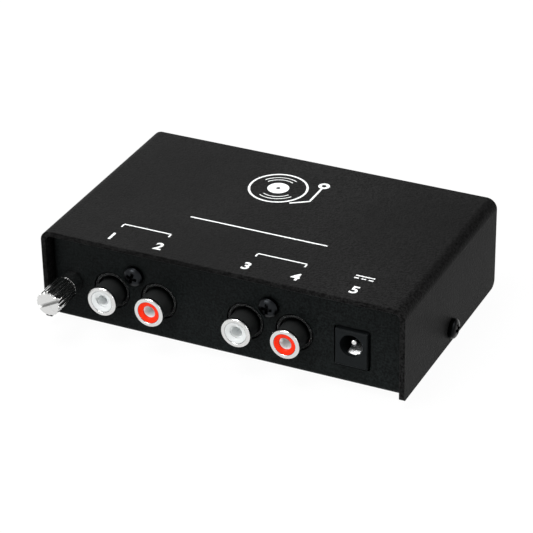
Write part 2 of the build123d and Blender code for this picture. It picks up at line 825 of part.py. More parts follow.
def axial_part(spot, body_radius, body_length):
    """A part lying along X, with a lead bent down to the board at each end."""
    x, y = board_place(spot)
    axis_z = board_top_z + body_radius + axial_lift
    lead_top_z = axis_z + axial_lead_width / 2
    with BuildPart() as piece:
        with BuildSketch(front_plane(y)):
            with Locations((x - body_length / 2, axis_z)):
                Rectangle(body_length / 2, body_radius, align=(Align.MIN, Align.MIN))
        revolve(axis=Axis((0, y, axis_z), (1, 0, 0)))
        with BuildSketch(front_plane(y + axial_lead_width / 2)):
            with Locations((x - axial_lead_pitch / 2, lead_top_z)):
                Rectangle(axial_lead_pitch / 2, axial_lead_width, align=(Align.MIN, Align.MAX))
                Rectangle(axial_lead_width, lead_top_z - board_top_z, align=(Align.MIN, Align.MAX))
        extrude(amount=axial_lead_width)
        mirror(about=Plane.YZ.offset(x))
    return piece.part


def can_capacitors(spots, radius, height):
    """Upright cans, which stand on the board."""
    with BuildPart() as cans:
        with BuildSketch(Plane.XY.offset(board_top_z)):
            with Locations(*[board_place(spot) for spot in spots]):
                Circle(radius)
        extrude(amount=height)
    return cans.part


smoothing_capacitors = can_capacitors(smoothing_spots, smoothing_radius, smoothing_height)
smoothing_capacitors.label = "smoothing_capacitors"
export_step(smoothing_capacitors, "parts/smoothing_capacitors.step")

coupling_capacitors = can_capacitors(coupling_spots, coupling_radius, coupling_height)
coupling_capacitors.label = "coupling_capacitors"
export_step(coupling_capacitors, "parts/coupling_capacitors.step")

with BuildPart() as film_capacitors:
    with BuildSketch(Plane.XY.offset(board_top_z)):
        with Locations(*[board_place(spot) for spot in film_spots]):
            Rectangle(film_length, film_width)
    extrude(amount=film_height)
    chamfer(film_capacitors.edges().group_by(Axis.Z)[-1], film_edge_chamfer)

film_capacitors.part.label = "film_capacitors"
export_step(film_capacitors.part, "parts/film_capacitors.step")

with BuildPart() as resistors:
    for spot in resistor_spots:
        add(axial_part(spot, resistor_radius, resistor_length))

resistors.part.label = "resistors"
export_step(resistors.part, "parts/resistors.step")

protection_diode = axial_part(diode_spot, diode_radius, diode_length)
protection_diode.label = "protection_diode"
export_step(protection_diode, "parts/protection_diode.step")

with BuildPart() as voltage_regulators:
    with BuildSketch(Plane.XY.offset(board_top_z + regulator_lift)):
        with Locations(*[board_place(spot) for spot in regulator_spots]):
            Circle(regulator_radius)
            with Locations((0, -regulator_flat)):
                Rectangle(
                    2 * regulator_radius,
                    regulator_radius,
                    align=(Align.CENTER, Align.MAX),
                    mode=Mode.SUBTRACT,
                )
    extrude(amount=regulator_height)
    with BuildSketch(Plane.XY.offset(board_top_z)):
        with Locations(*[board_place(spot) for spot in regulator_spots]):
            with GridLocations(regulator_lead_pitch, 0, 3, 1):
                Rectangle(regulator_lead_width, regulator_lead_width)
    extrude(amount=regulator_lift)

voltage_regulators.part.label = "voltage_regulators"
export_step(voltage_regulators.part, "parts/voltage_regulators.step")

with BuildPart() as amplifier_chips:
    with BuildSketch(Plane.XY.offset(board_top_z + chip_standoff)):
        with Locations(*[board_place(spot) for spot in chip_spots]):
            Rectangle(chip_length, chip_width)
    extrude(amount=chip_height)
    # Gull-wing legs, in two rows of four
    for x, y in [board_place(spot) for spot in chip_spots]:
        side_y = y + chip_width / 2
        for step in (-1.5, -0.5, 0.5, 1.5):
            leg_x = x + step * chip_leg_pitch
            with BuildSketch(side_plane(leg_x - chip_leg_width / 2)):
                with BuildLine():
                    Polyline(
                        (y, board_top_z + chip_height / 2),
                        (side_y + chip_leg_shoulder, board_top_z + chip_height / 2),
                        (side_y + chip_leg_heel, board_top_z + chip_leg_thickness),
                        (side_y + chip_leg_reach, board_top_z + chip_leg_thickness),
                    )
                    offset(amount=chip_leg_thickness, side=Side.RIGHT, kind=Kind.INTERSECTION)
                make_face()
                mirror(about=Plane.YZ.offset(y))
            extrude(amount=chip_leg_width)

amplifier_chips.part.label = "amplifier_chips"
export_step(amplifier_chips.part, "parts/amplifier_chips.step")

# ---------------------------------------------------------------- circuit board and its screws


def strip_hole(width, thickness):
    """A hole for a flat lead, drawn around the lead's section."""
    Rectangle(width + 2 * lead_clearance, thickness + 2 * lead_clearance)


with BuildPart() as circuit_board:
    with BuildSketch(Plane.XY.offset(board_bottom_z)):
        with Locations((0, board_mid_y)):
            RectangleRounded(board_width, board_depth, board_corner_radius)
            with GridLocations(board_screw_x_gap, board_screw_row_gap, 2, 2):
                Circle(screw_hole_radius, mode=Mode.SUBTRACT)
    extrude(amount=board_thickness)
    with BuildSketch(Plane.XY.offset(board_bottom_z)):
        with Locations(*[(x, shell_leg_y + shell_leg_thickness / 2) for x in socket_xs]):
            strip_hole(shell_leg_width, shell_leg_thickness)
        with Locations(*[(x, contact_strip_y + contact_strip_thickness / 2) for x in socket_xs]):
            strip_hole(contact_strip_width, contact_strip_thickness)
        with Locations((power_x, power_strip_y + contact_strip_thickness / 2)):
            strip_hole(power_pin_strip_width, contact_strip_thickness)
        with Locations((power_x, leaf_leg_y - leaf_thickness / 2)):
            strip_hole(leaf_width, leaf_thickness)
        with Locations((power_x, switch_leg_y + leaf_thickness / 2)):
            strip_hole(leaf_width / 2, leaf_thickness)
        with Locations((terminal_x, tag_leg_y + tag_thickness / 2)):
            strip_hole(tag_leg_width, tag_thickness)
    extrude(amount=board_thickness, mode=Mode.SUBTRACT)

circuit_board.part.label = "circuit_board"
export_step(circuit_board.part, "parts/circuit_board.step")

board_screw_length = board_top_z - chassis_bottom_z - board_screw_tip_gap

with BuildPart() as board_screws:
    with BuildSketch(Plane.XY.offset(board_top_z)):
        with Locations((0, board_mid_y)):
            with GridLocations(board_screw_x_gap, board_screw_row_gap, 2, 2):
                Circle(board_screw_head_radius)
    extrude(amount=board_screw_head_height)
    with BuildSketch(Plane.XY.offset(board_top_z + board_screw_head_height)):
        with Locations((0, board_mid_y)):
            with GridLocations(board_screw_x_gap, board_screw_row_gap, 2, 2):
                Rectangle(recess_span, recess_width)
                Rectangle(recess_width, recess_span)
    extrude(amount=-recess_depth, mode=Mode.SUBTRACT)
    with BuildSketch(Plane.XY.offset(board_top_z)):
        with Locations((0, board_mid_y)):
            with GridLocations(board_screw_x_gap, board_screw_row_gap, 2, 2):
                Circle(screw_radius)
    extrude(amount=-board_screw_length)

board_screws.part.label = "board_screws"
export_step(board_screws.part, "parts/board_screws.step")
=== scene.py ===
from math import cos, pi, radians, sin, tau

import bmesh
import bpy
from mathutils import Matrix, Vector


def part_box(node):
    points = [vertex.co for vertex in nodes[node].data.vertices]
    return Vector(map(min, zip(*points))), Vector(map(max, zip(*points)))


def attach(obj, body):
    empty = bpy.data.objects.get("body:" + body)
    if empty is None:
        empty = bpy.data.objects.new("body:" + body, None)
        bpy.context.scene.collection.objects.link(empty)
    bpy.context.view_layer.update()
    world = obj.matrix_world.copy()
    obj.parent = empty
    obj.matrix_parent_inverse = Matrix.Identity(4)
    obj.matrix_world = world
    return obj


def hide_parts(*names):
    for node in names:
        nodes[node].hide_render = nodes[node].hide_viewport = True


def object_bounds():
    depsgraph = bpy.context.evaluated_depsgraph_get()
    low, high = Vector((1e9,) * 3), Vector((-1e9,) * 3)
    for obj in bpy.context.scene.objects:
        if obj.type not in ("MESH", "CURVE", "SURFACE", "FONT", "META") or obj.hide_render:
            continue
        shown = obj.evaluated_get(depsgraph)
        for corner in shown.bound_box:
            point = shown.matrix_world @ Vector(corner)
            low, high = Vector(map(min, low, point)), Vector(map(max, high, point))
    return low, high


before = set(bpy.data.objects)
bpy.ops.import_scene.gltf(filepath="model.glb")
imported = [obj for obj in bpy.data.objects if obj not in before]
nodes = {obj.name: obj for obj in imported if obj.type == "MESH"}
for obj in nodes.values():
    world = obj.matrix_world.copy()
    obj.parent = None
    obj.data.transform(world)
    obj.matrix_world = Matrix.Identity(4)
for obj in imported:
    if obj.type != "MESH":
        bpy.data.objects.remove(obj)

# A phono preamp: a black powder-coated box with two pairs of phono sockets, a power socket and a
# ground terminal. Lengths are in metres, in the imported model's own frame: +X to the right along
# the socket panel, +Y from the panel to the rear, +Z up, and the table at z = 0.

MM = 0.001
cad_low, cad_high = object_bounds()


# ---------------------------------------------------------------- building node trees


def linear(hex_colour):
    """An sRGB hex colour as the linear values that a shader takes."""
    channels = [int(hex_colour[start : start + 2], 16) / 255 for start in (1, 3, 5)]
    return [c / 12.92 if c <= 0.04045 else ((c + 0.055) / 1.055) ** 2.4 for c in channels] + [1.0]


def add_node(tree, kind, inputs=None, **settings):
    """Adds a node with its settings. Each input, by name or number, gets a value or a socket's link."""
    made = tree.nodes.new(kind)
    for name, value in settings.items():
        setattr(made, name, value)
    for socket, value in (inputs or {}).items():
        if isinstance(value, bpy.types.NodeSocket):
            tree.links.new(value, made.inputs[socket])
        else:
            made.inputs[socket].default_value = value
    return made


def start_material(name, **values):
    """A material with its shader, and the place on the piece that its patterns read."""
    material = bpy.data.materials.new(name)
    material.use_nodes = True
    tree = material.node_tree
    tree.nodes.clear()
    sockets = {
        key.replace("_", " ").title().replace("Ior", "IOR"): value for key, value in values.items()
    }
    shader = add_node(tree, "ShaderNodeBsdfPrincipled", sockets)
    add_node(tree, "ShaderNodeOutputMaterial", {"Surface": shader.outputs["BSDF"]})
    place = add_node(tree, "ShaderNodeTexCoord").outputs["Object"]
    return material, tree, shader, place


# ---------------------------------------------------------------- materials


def edge_share(tree, width):
    """The normal of a copy with rounded edges, and the share of an edge at each spot, from 0 to 1,
    which grows as that normal leaves the true one. The share masks painted edge highlights."""
    rounded = add_node(tree, "ShaderNodeBevel", {"Radius": width}, samples=4).outputs["Normal"]
    true_normal = add_node(tree, "ShaderNodeNewGeometry").outputs["Normal"]
    likeness = add_node(
        tree, "ShaderNodeVectorMath", {0: rounded, 1: true_normal}, operation="DOT_PRODUCT"
    ).outputs["Value"]
    share = add_node(
        tree,
        "ShaderNodeMapRange",
        {"Value": likeness, "From Min": 0.97, "From Max": 0.85, "To Min": 0.0, "To Max": 1.0},
    ).outputs["Result"]
    return rounded, share


def open_share(tree, reach, closed, clear, least):
    """A share from 1 in the open down to the least in joints, slots and wells about as wide as the
    reach; it masks painted shade there. Closed and clear are how free of walls a spot is at the least
    and at 1."""
    openness = add_node(
        tree, "ShaderNodeAmbientOcclusion", {"Distance": reach}, samples=8
    ).outputs["AO"]
    return add_node(
        tree,
        "ShaderNodeMapRange",
        {"Value": openness, "From Min": closed, "From Max": clear, "To Min": least, "To Max": 1.0},
    ).outputs["Result"]


def powder_coat(name, dark, light, worn_and_lit, gloss):
    """Powder coat on sheet steel: sprayed on as dry resin powder and baked. It flows into a fine
    orange peel, so the sheen breaks into specks, which are painted into the colour as lighter
    flecks. It draws back from sharp edges, which show as a thin broken lighter line, partly painted
    highlight; gaps and corners get painted shade."""
    material, tree, shader, place = start_material(name, specular_ior_level=gloss)
    peel_size = 0.55 * MM
    peel_height = 0.16 * MM
    grit_size = 0.2 * MM
    grit_height = 0.03 * MM
    cloud_size = 40 * MM
    edge_width = 0.18 * MM
    recess_size = 3.0 * MM
    peel = add_node(
        tree, "ShaderNodeTexNoise", {"Vector": place, "Scale": 1 / peel_size, "Detail": 3.0}
    )
    grit = add_node(
        tree, "ShaderNodeTexNoise", {"Vector": place, "Scale": 1 / grit_size, "Detail": 1.0}
    )
    cloud = add_node(
        tree, "ShaderNodeTexNoise", {"Vector": place, "Scale": 1 / cloud_size, "Detail": 2.0}
    )
    fleck = add_node(
        tree,
        "ShaderNodeMapRange",
        {
            "Value": peel.outputs["Fac"],
            "From Min": 0.35,
            "From Max": 0.68,
            "To Min": 0.0,
            "To Max": 1.3,
        },
    )
    # Painted sheen: flecks of the peel, lighter in the colour, stand in for the specks of its sheen,
    # within a large random cloud of tone
    painted_sheen_speck = add_node(
        tree,
        "ShaderNodeMath",
        {0: cloud.outputs["Fac"], 1: fleck.outputs["Result"]},
        operation="MULTIPLY",
    )
    colour = add_node(
        tree,
        "ShaderNodeMix",
        {"Factor": painted_sheen_speck.outputs[0], "A": linear(dark), "B": linear(light)},
        data_type="RGBA",
    )
    edge = edge_share(tree, edge_width)[1]
    # The thin lighter line on sharp edges is partly the coat thinning there and partly a painted highlight
    # of the light those edges catch
    edge_wear_and_highlight = add_node(
        tree, "ShaderNodeMath", {0: edge, 1: fleck.outputs["Result"]}, operation="MULTIPLY", use_clamp=True
    )
    finish = add_node(
        tree,
        "ShaderNodeMix",
        {"Factor": edge_wear_and_highlight.outputs[0], "A": colour.outputs["Result"], "B": linear(worn_and_lit)},
        data_type="RGBA",
    )
    # Painted shade: the colour is darkened to near black in gaps and corners, where shade falls
    unshaded_share = open_share(tree, recess_size, closed=0.4, clear=0.8, least=0.1)
    shaded = add_node(
        tree,
        "ShaderNodeMix",
        {"Factor": unshaded_share, "A": linear("#020202"), "B": finish.outputs["Result"]},
        data_type="RGBA",
    )
    roughness = add_node(
        tree,
        "ShaderNodeMapRange",
        {
            "Value": peel.outputs["Fac"],
            "From Min": 0.3,
            "From Max": 0.7,
            "To Min": 0.36,
            "To Max": 0.52,
        },
    )
    waves = add_node(
        tree,
        "ShaderNodeBump",
        {"Height": peel.outputs["Fac"], "Strength": 1.0, "Distance": peel_height},
    )
    grains = add_node(
        tree,
        "ShaderNodeBump",
        {
            "Height": grit.outputs["Fac"],
            "Normal": waves.outputs["Normal"],
            "Strength": 1.0,
            "Distance": grit_height,
        },
    )
    tree.links.new(shaded.outputs["Result"], shader.inputs["Base Color"])
    tree.links.new(roughness.outputs["Result"], shader.inputs["Roughness"])
    tree.links.new(grains.outputs["Normal"], shader.inputs["Normal"])
    return material


def moulded_plastic(name, dark, light, roughness, gloss, grain, well_shade=None, rim=None):
    """Injection-moulded plastic: the steel mould leaves a faint even grain on an otherwise smooth skin,
    and its edges come out slightly round. The thin line of light that they catch is painted into the
    colour as a rim highlight, and joints and wells are painted darker as shade. The grain is given by
    its size and height, and the painted shade by its colour and how wide it reaches."""
    material, tree, shader, place = start_material(
        name, roughness=roughness, specular_ior_level=gloss
    )
    flow_size = 3 * MM
    edge_round = 0.08 * MM
    grain_size, grain_height = grain
    shade_colour, shade_reach = well_shade or (dark, 0.5 * MM)
    relief = add_node(
        tree, "ShaderNodeTexNoise", {"Vector": place, "Scale": 1 / grain_size, "Detail": 2.0}
    )
    flow = add_node(
        tree, "ShaderNodeTexNoise", {"Vector": place, "Scale": 1 / flow_size, "Detail": 2.0}
    )
    colour = add_node(
        tree,
        "ShaderNodeMix",
        {"Factor": flow.outputs["Fac"], "A": linear(dark), "B": linear(light)},
        data_type="RGBA",
    )
    rounded, edge = edge_share(tree, edge_round)
    # Painted highlight: the rounded edges are painted in the rim colour, for the thin line of light they
    # catch
    painted_edge_highlight = add_node(
        tree,
        "ShaderNodeMix",
        {"Factor": edge, "A": colour.outputs["Result"], "B": linear(rim or light)},
        data_type="RGBA",
    )
    # Painted shade: joints and wells take the shade colour, out to the shade reach
    shaded = add_node(
        tree,
        "ShaderNodeMix",
        {
            "Factor": open_share(tree, shade_reach, closed=0.45, clear=0.85, least=0.0),
            "A": linear(shade_colour),
            "B": painted_edge_highlight.outputs["Result"],
        },
        data_type="RGBA",
    )
    skin = add_node(
        tree,
        "ShaderNodeBump",
        {
            "Height": relief.outputs["Fac"],
            "Normal": rounded,
            "Strength": 1.0,
            "Distance": grain_height,
        },
    )
    tree.links.new(shaded.outputs["Result"], shader.inputs["Base Color"])
    tree.links.new(skin.outputs["Normal"], shader.inputs["Normal"])
    return material


def plated_metal(name, dark, light, recess_shade, roughness, marks, metallic=1.0):
    """Plated metal: the thin bright layer keeps the faint marks that cutting and tumbling left below
    it, which are given by their size and height. The bottom of slots and flutes is painted darker as
    shade, so those read as dark lines."""
    material, tree, shader, place = start_material(name, metallic=metallic)
    haze_size = 2.5 * MM
    recess_size = 1.2 * MM
    mark_size, mark_height = marks
    relief = add_node(
        tree, "ShaderNodeTexNoise", {"Vector": place, "Scale": 1 / mark_size, "Detail": 3.0}
    )
    haze = add_node(
        tree, "ShaderNodeTexNoise", {"Vector": place, "Scale": 1 / haze_size, "Detail": 2.0}
    )
    colour = add_node(
        tree,
        "ShaderNodeMix",
        {"Factor": haze.outputs["Fac"], "A": linear(dark), "B": linear(light)},
        data_type="RGBA",
    )
    # Painted shade: the colour turns to the recess shade at the bottom of slots, flutes and joints
    finish = add_node(
        tree,
        "ShaderNodeMix",
        {
            "Factor": open_share(tree, recess_size, closed=0.25, clear=0.75, least=0.15),
            "A": linear(recess_shade),
            "B": colour.outputs["Result"],
        },
        data_type="RGBA",
    )
    sheen = add_node(
        tree,
        "ShaderNodeMapRange",
        {
            "Value": haze.outputs["Fac"],
            "From Min": 0.3,
            "From Max": 0.7,
            "To Min": 0.8 * roughness,
            "To Max": 1.2 * roughness,
        },
    )
    skin = add_node(
        tree,
        "ShaderNodeBump",
        {"Height": relief.outputs["Fac"], "Strength": 1.0, "Distance": mark_height},
    )
    tree.links.new(finish.outputs["Result"], shader.inputs["Base Color"])
    tree.links.new(sheen.outputs["Result"], shader.inputs["Roughness"])
    tree.links.new(skin.outputs["Normal"], shader.inputs["Normal"])
    return material


# Painted light in these colours: a plated metal's third colour is painted shade in slots and flutes; a
# moulding's shade colour is painted shade in joints and wells, and its rim colour a painted edge
# highlight; a powder coat's edge colour is partly thin coat on sharp edges and partly a painted highlight.
finishes = {
    "powder_coat_cover": powder_coat(
        "black_powder_coat", dark="#050505", light="#242424", worn_and_lit="#202020", gloss=0.0176
    ),
    "powder_coat_chassis": powder_coat(
        "black_powder_coat_chassis", dark="#0a0c0c", light="#1c2020", worn_and_lit="#0c0e0e", gloss=0.032
    ),
    "black_screw": plated_metal(
        "black_zinc_plate", "#1b1c1e", "#2a2c2e", "#0a0a0a", roughness=0.3, marks=(0.3 * MM, 0.001 * MM)
    ),
    "zinc_screw": plated_metal(
        "bright_zinc_plate", "#b4b6b8", "#c9cbcc", "#55585a", roughness=0.28, marks=(0.3 * MM, 0.002 * MM)
    ),
    "nickel": plated_metal(
        "nickel_plate", "#d0d0cf", "#dededd", "#444444", roughness=0.16, marks=(0.25 * MM, 0.0006 * MM)
    ),
    "tinned_brass": plated_metal(
        "tin_plate",
        "#eef1f1",
        "#f8fafa",
        "#eef1f1",
        roughness=0.5,
        marks=(0.3 * MM, 0.002 * MM),
        metallic=0.15,
    ),
    "rubber": moulded_plastic(
        "moulded_rubber", "#161616", "#1d1d1d", roughness=0.75, gloss=0.2, grain=(0.3 * MM, 0.01 * MM)
    ),
    "black_moulding": moulded_plastic(
        "black_polyester",
        "#1f2020",
        "#252626",
        roughness=0.35,
        gloss=0.04,
        grain=(0.2 * MM, 0.003 * MM),
        well_shade=("#010101", 2.5 * MM),
        rim="#a4a6a6",
    ),
    "white_insulator": moulded_plastic(
        "white_nylon",
        "#c6c9c9",
        "#d0d3d3",
        roughness=0.3,
        gloss=0.3,
        grain=(0.3 * MM, 0.001 * MM),
        well_shade=("#5a6060", 0.5 * MM),
        rim="#dadddd",
    ),
    "red_insulator": moulded_plastic(
        "red_nylon",
        "#de2203",
        "#e82c08",
        roughness=0.25,
        gloss=0.1,
        grain=(0.3 * MM, 0.001 * MM),
        well_shade=("#6a0a01", 0.5 * MM),
        rim="#ff4820",
    ),
    "board_laminate": moulded_plastic(
        "green_laminate", "#0f4d2c", "#14603a", roughness=0.35, gloss=0.4, grain=(0.5 * MM, 0.01 * MM)
    ),
    "chip_epoxy": moulded_plastic(
        "black_epoxy", "#141414", "#1c1c1c", roughness=0.6, gloss=0.3, grain=(0.15 * MM, 0.004 * MM)
    ),
    "capacitor_sleeve": moulded_plastic(
        "dark_sleeve", "#10141c", "#171c26", roughness=0.3, gloss=0.4, grain=(0.6 * MM, 0.002 * MM)
    ),
    "film_case": moulded_plastic(
        "red_film_case", "#8d2018", "#9f2a20", roughness=0.35, gloss=0.4, grain=(0.3 * MM, 0.002 * MM)
    ),
    "resistor_lacquer": moulded_plastic(
        "blue_lacquer", "#4f86a8", "#6098b9", roughness=0.3, gloss=0.4, grain=(0.3 * MM, 0.003 * MM)
    ),
}
for node in nodes.values():
    for slot in node.material_slots:
        slot.material = finishes[slot.material.name]

# The power socket's leaf is half bright, and its nylon is less glossy than the sockets' polyester
# Here too the leaf's third colour is painted shade, and the nylon's shade and rim colours are painted
# shade and a painted edge highlight.
own_finishes = {
    "power_socket_leaf": plated_metal(
        "spring_plate",
        "#e6e8e8",
        "#f2f4f4",
        "#8a8c8c",
        roughness=0.3,
        marks=(0.3 * MM, 0.001 * MM),
        metallic=0.75,
    ),
    "power_socket_housing": moulded_plastic(
        "black_nylon",
        "#131516",
        "#191c1d",
        roughness=0.45,
        gloss=0.04,
        grain=(0.2 * MM, 0.004 * MM),
        well_shade=("#020202", 0.5 * MM),
        rim="#3a3c3c",
    ),
}
for name, finish in own_finishes.items():
    for slot in nodes[name].material_slots:
        slot.material = finish

# The cover's screws are blacker than the sockets' screws: a darker copy of the same plating, painted shade
# for the dark side of the room that their heads reflect
shaded_black_zinc = plated_metal(
    "shaded_black_zinc", "#0c0d0e", "#141516", "#040404", roughness=0.34, marks=(0.3 * MM, 0.001 * MM)
)

# ---------------------------------------------------------------- finished meshes

# Points of a mesh that lie nearer than this become one, with a smaller limit for turned pieces
weld_gap = 0.001 * MM
fine_weld_gap = 0.0005 * MM


def merge_doubles(mesh, gap, turn_out=False):
    """Merges the points of a mesh that lie within the gap and, for a closed mesh that was made by
    turning or from listed points, turns its faces outwards."""
    shape = bmesh.new()
    shape.from_mesh(mesh)
    bmesh.ops.remove_doubles(shape, verts=shape.verts, dist=gap)
    if turn_out:
        bmesh.ops.recalc_face_normals(shape, faces=shape.faces)
    shape.to_mesh(mesh)
    shape.free()


def settle(piece):
    """Makes what a piece's modifiers give its own plain mesh, and removes them."""
    bpy.context.view_layer.update()
    seen = piece.evaluated_get(bpy.context.evaluated_depsgraph_get())
    mesh = bpy.data.meshes.new_from_object(seen)
    piece.modifiers.clear()
    piece.data = mesh
    return mesh


def add_piece(name, content):
    """An object in the scene, for a mesh, a lamp or a camera."""
    piece = bpy.data.objects.new(name, content)
    bpy.context.collection.objects.link(piece)
    return piece


# ---------------------------------------------------------------- turned pieces, by Geometry Nodes


def start_tree(name, sizes):
    """An empty geometry tree with named number inputs and one geometry output."""
    tree = bpy.data.node_groups.new(name, "GeometryNodeTree")
    tree.interface.new_socket("Geometry", in_out="INPUT", socket_type="NodeSocketGeometry")
    for size, value in sizes.items():
        kind = "NodeSocketInt" if isinstance(value, int) else "NodeSocketFloat"
        tree.interface.new_socket(size, in_out="INPUT", socket_type=kind).default_value = value
    tree.interface.new_socket("Geometry", in_out="OUTPUT", socket_type="NodeSocketGeometry")
    return tree, add_node(tree, "NodeGroupInput")


def lathe_group():
    """Turns a profile about Z. The profile's x is the radius and its y is the height."""
    tree, given = start_tree("lathe", {"Segments": 64})
    count = add_node(
        tree,
        "GeometryNodeAttributeDomainSize",
        {"Geometry": given.outputs["Geometry"]},
        component="CURVE",
    )
    points = count.outputs["Point Count"]
    columns = add_node(
        tree, "ShaderNodeMath", {0: given.outputs["Segments"], 1: 1.0}, operation="ADD"
    )
    grid = add_node(
        tree, "GeometryNodeMeshGrid", {"Vertices X": columns.outputs[0], "Vertices Y": points}
    )
    index = add_node(tree, "GeometryNodeInputIndex").outputs[0]
    row = add_node(tree, "ShaderNodeMath", {0: index, 1: points}, operation="MODULO")
    share = add_node(tree, "ShaderNodeMath", {0: index, 1: points}, operation="DIVIDE")
    column = add_node(tree, "ShaderNodeMath", {0: share.outputs[0]}, operation="FLOOR")
    turns = add_node(
        tree,
        "ShaderNodeMath",
        {0: column.outputs[0], 1: given.outputs["Segments"]},
        operation="DIVIDE",
    )
    angle = add_node(tree, "ShaderNodeMath", {0: turns.outputs[0], 1: tau}, operation="MULTIPLY")
    place = add_node(tree, "GeometryNodeInputPosition")
    point = add_node(
        tree,
        "GeometryNodeSampleIndex",
        {"Geometry": given.outputs["Geometry"], "Value": place.outputs[0], "Index": row.outputs[0]},
        data_type="FLOAT_VECTOR",
        domain="POINT",
    )
    spot = add_node(tree, "ShaderNodeSeparateXYZ", {0: point.outputs["Value"]})
    cosine = add_node(tree, "ShaderNodeMath", {0: angle.outputs[0]}, operation="COSINE")
    sine = add_node(tree, "ShaderNodeMath", {0: angle.outputs[0]}, operation="SINE")
    x = add_node(
        tree, "ShaderNodeMath", {0: spot.outputs["X"], 1: cosine.outputs[0]}, operation="MULTIPLY"
    )
    y = add_node(
        tree, "ShaderNodeMath", {0: spot.outputs["X"], 1: sine.outputs[0]}, operation="MULTIPLY"
    )
    turned = add_node(
        tree, "ShaderNodeCombineXYZ", {"X": x.outputs[0], "Y": y.outputs[0], "Z": spot.outputs["Y"]}
    )
    shaped = add_node(
        tree,
        "GeometryNodeSetPosition",
        {"Geometry": grid.outputs["Mesh"], "Position": turned.outputs[0]},
    )
    closed = add_node(
        tree, "GeometryNodeMergeByDistance", {"Geometry": shaped.outputs[0], "Distance": weld_gap}
    )
    add_node(tree, "NodeGroupOutput", {"Geometry": closed.outputs[0]})
    return tree


lathe = lathe_group()


def profile_point(tree, radius=0.0, height=0.0, inward=0.0, down=0.0):
    """A profile's corner, from two sizes, moved inward and down by two more."""
    reach = add_node(tree, "ShaderNodeMath", {0: radius, 1: inward}, operation="SUBTRACT")
    level = add_node(tree, "ShaderNodeMath", {0: height, 1: down}, operation="SUBTRACT")
    return add_node(
        tree, "ShaderNodeCombineXYZ", {"X": reach.outputs[0], "Y": level.outputs[0]}
    ).outputs[0]


def turned_piece(tree, stretches, segments):
    """The stretches of a profile, in order, turned to a closed piece. A stretch of two points is
    straight, and one of three points is a curve drawn towards the one between."""
    joined = add_node(tree, "GeometryNodeJoinGeometry")
    for points in reversed(stretches):
        kind = "GeometryNodeCurvePrimitiveLine"
        inputs = {"Start": points[0], "End": points[-1]}
        if len(points) == 3:
            kind = "GeometryNodeCurveQuadraticBezier"
            inputs.update({"Resolution": 10, "Middle": points[1]})
        curve = add_node(tree, kind, inputs)
        tree.links.new(curve.outputs[0], joined.inputs[0])
    return add_node(
        tree,
        "GeometryNodeGroup",
        {"Geometry": joined.outputs[0], "Segments": segments},
        node_tree=lathe,
    ).outputs[0]


def end_tree(tree, points, piece, finish):
    """One piece on each point, along the point's facing and turned about it."""
    facing = add_node(
        tree, "GeometryNodeInputNamedAttribute", {"Name": "facing"}, data_type="FLOAT_VECTOR"
    )
    turn = add_node(tree, "GeometryNodeInputNamedAttribute", {"Name": "turn"}, data_type="FLOAT")
    aimed = add_node(
        tree, "FunctionNodeAlignRotationToVector", {"Vector": facing.outputs[0]}, axis="Z"
    )
    spin = add_node(
        tree, "FunctionNodeAxisAngleToRotation", {"Axis": (0, 0, 1), "Angle": turn.outputs[0]}
    )
    turned = add_node(
        tree,
        "FunctionNodeRotateRotation",
        {0: aimed.outputs[0], 1: spin.outputs[0]},
        rotation_space="LOCAL",
    )
    placed = add_node(
        tree,
        "GeometryNodeInstanceOnPoints",
        {"Points": points, "Instance": piece, "Rotation": turned.outputs[0]},
    )
    real = add_node(tree, "GeometryNodeRealizeInstances", {"Geometry": placed.outputs[0]})
    dressed = add_node(
        tree, "GeometryNodeSetMaterial", {"Geometry": real.outputs[0], "Material": finish}
    )
    add_node(tree, "NodeGroupOutput", {"Geometry": dressed.outputs[0]})


def place_pieces(name, tree, spots, body, stood_for, crease, sizes=None):
    """Runs a tree on spots of (place, facing, turn) and keeps the result as one plain mesh. Sizes
    that differ from the tree's own are given by name."""
    seeds = bpy.data.meshes.new(name + "_spots")
    seeds.from_pydata([place for place, facing, turn in spots], [], [])
    seeds.attributes.new("facing", "FLOAT_VECTOR", "POINT")
    seeds.attributes.new("turn", "FLOAT", "POINT")
    for number, (place, facing, turn) in enumerate(spots):
        seeds.attributes["facing"].data[number].vector = facing
        seeds.attributes["turn"].data[number].value = turn
    piece = add_piece(name, seeds)
    modifier = piece.modifiers.new("tree", "NODES")
    modifier.node_group = tree
    for size, value in (sizes or {}).items():
        modifier[tree.interface.items_tree[size].identifier] = value
    mesh = settle(piece)
    merge_doubles(mesh, fine_weld_gap, turn_out=True)
    mesh.shade_smooth()
    mesh.set_sharp_from_angle(angle=radians(crease))
    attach(piece, body)
    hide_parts(*stood_for)


# Sizes of the solids that the pieces are placed by
head_radius = 2.75 * MM
head_height = 2.0 * MM
ring_radius = 4.2 * MM
knob_length = 9.4 * MM


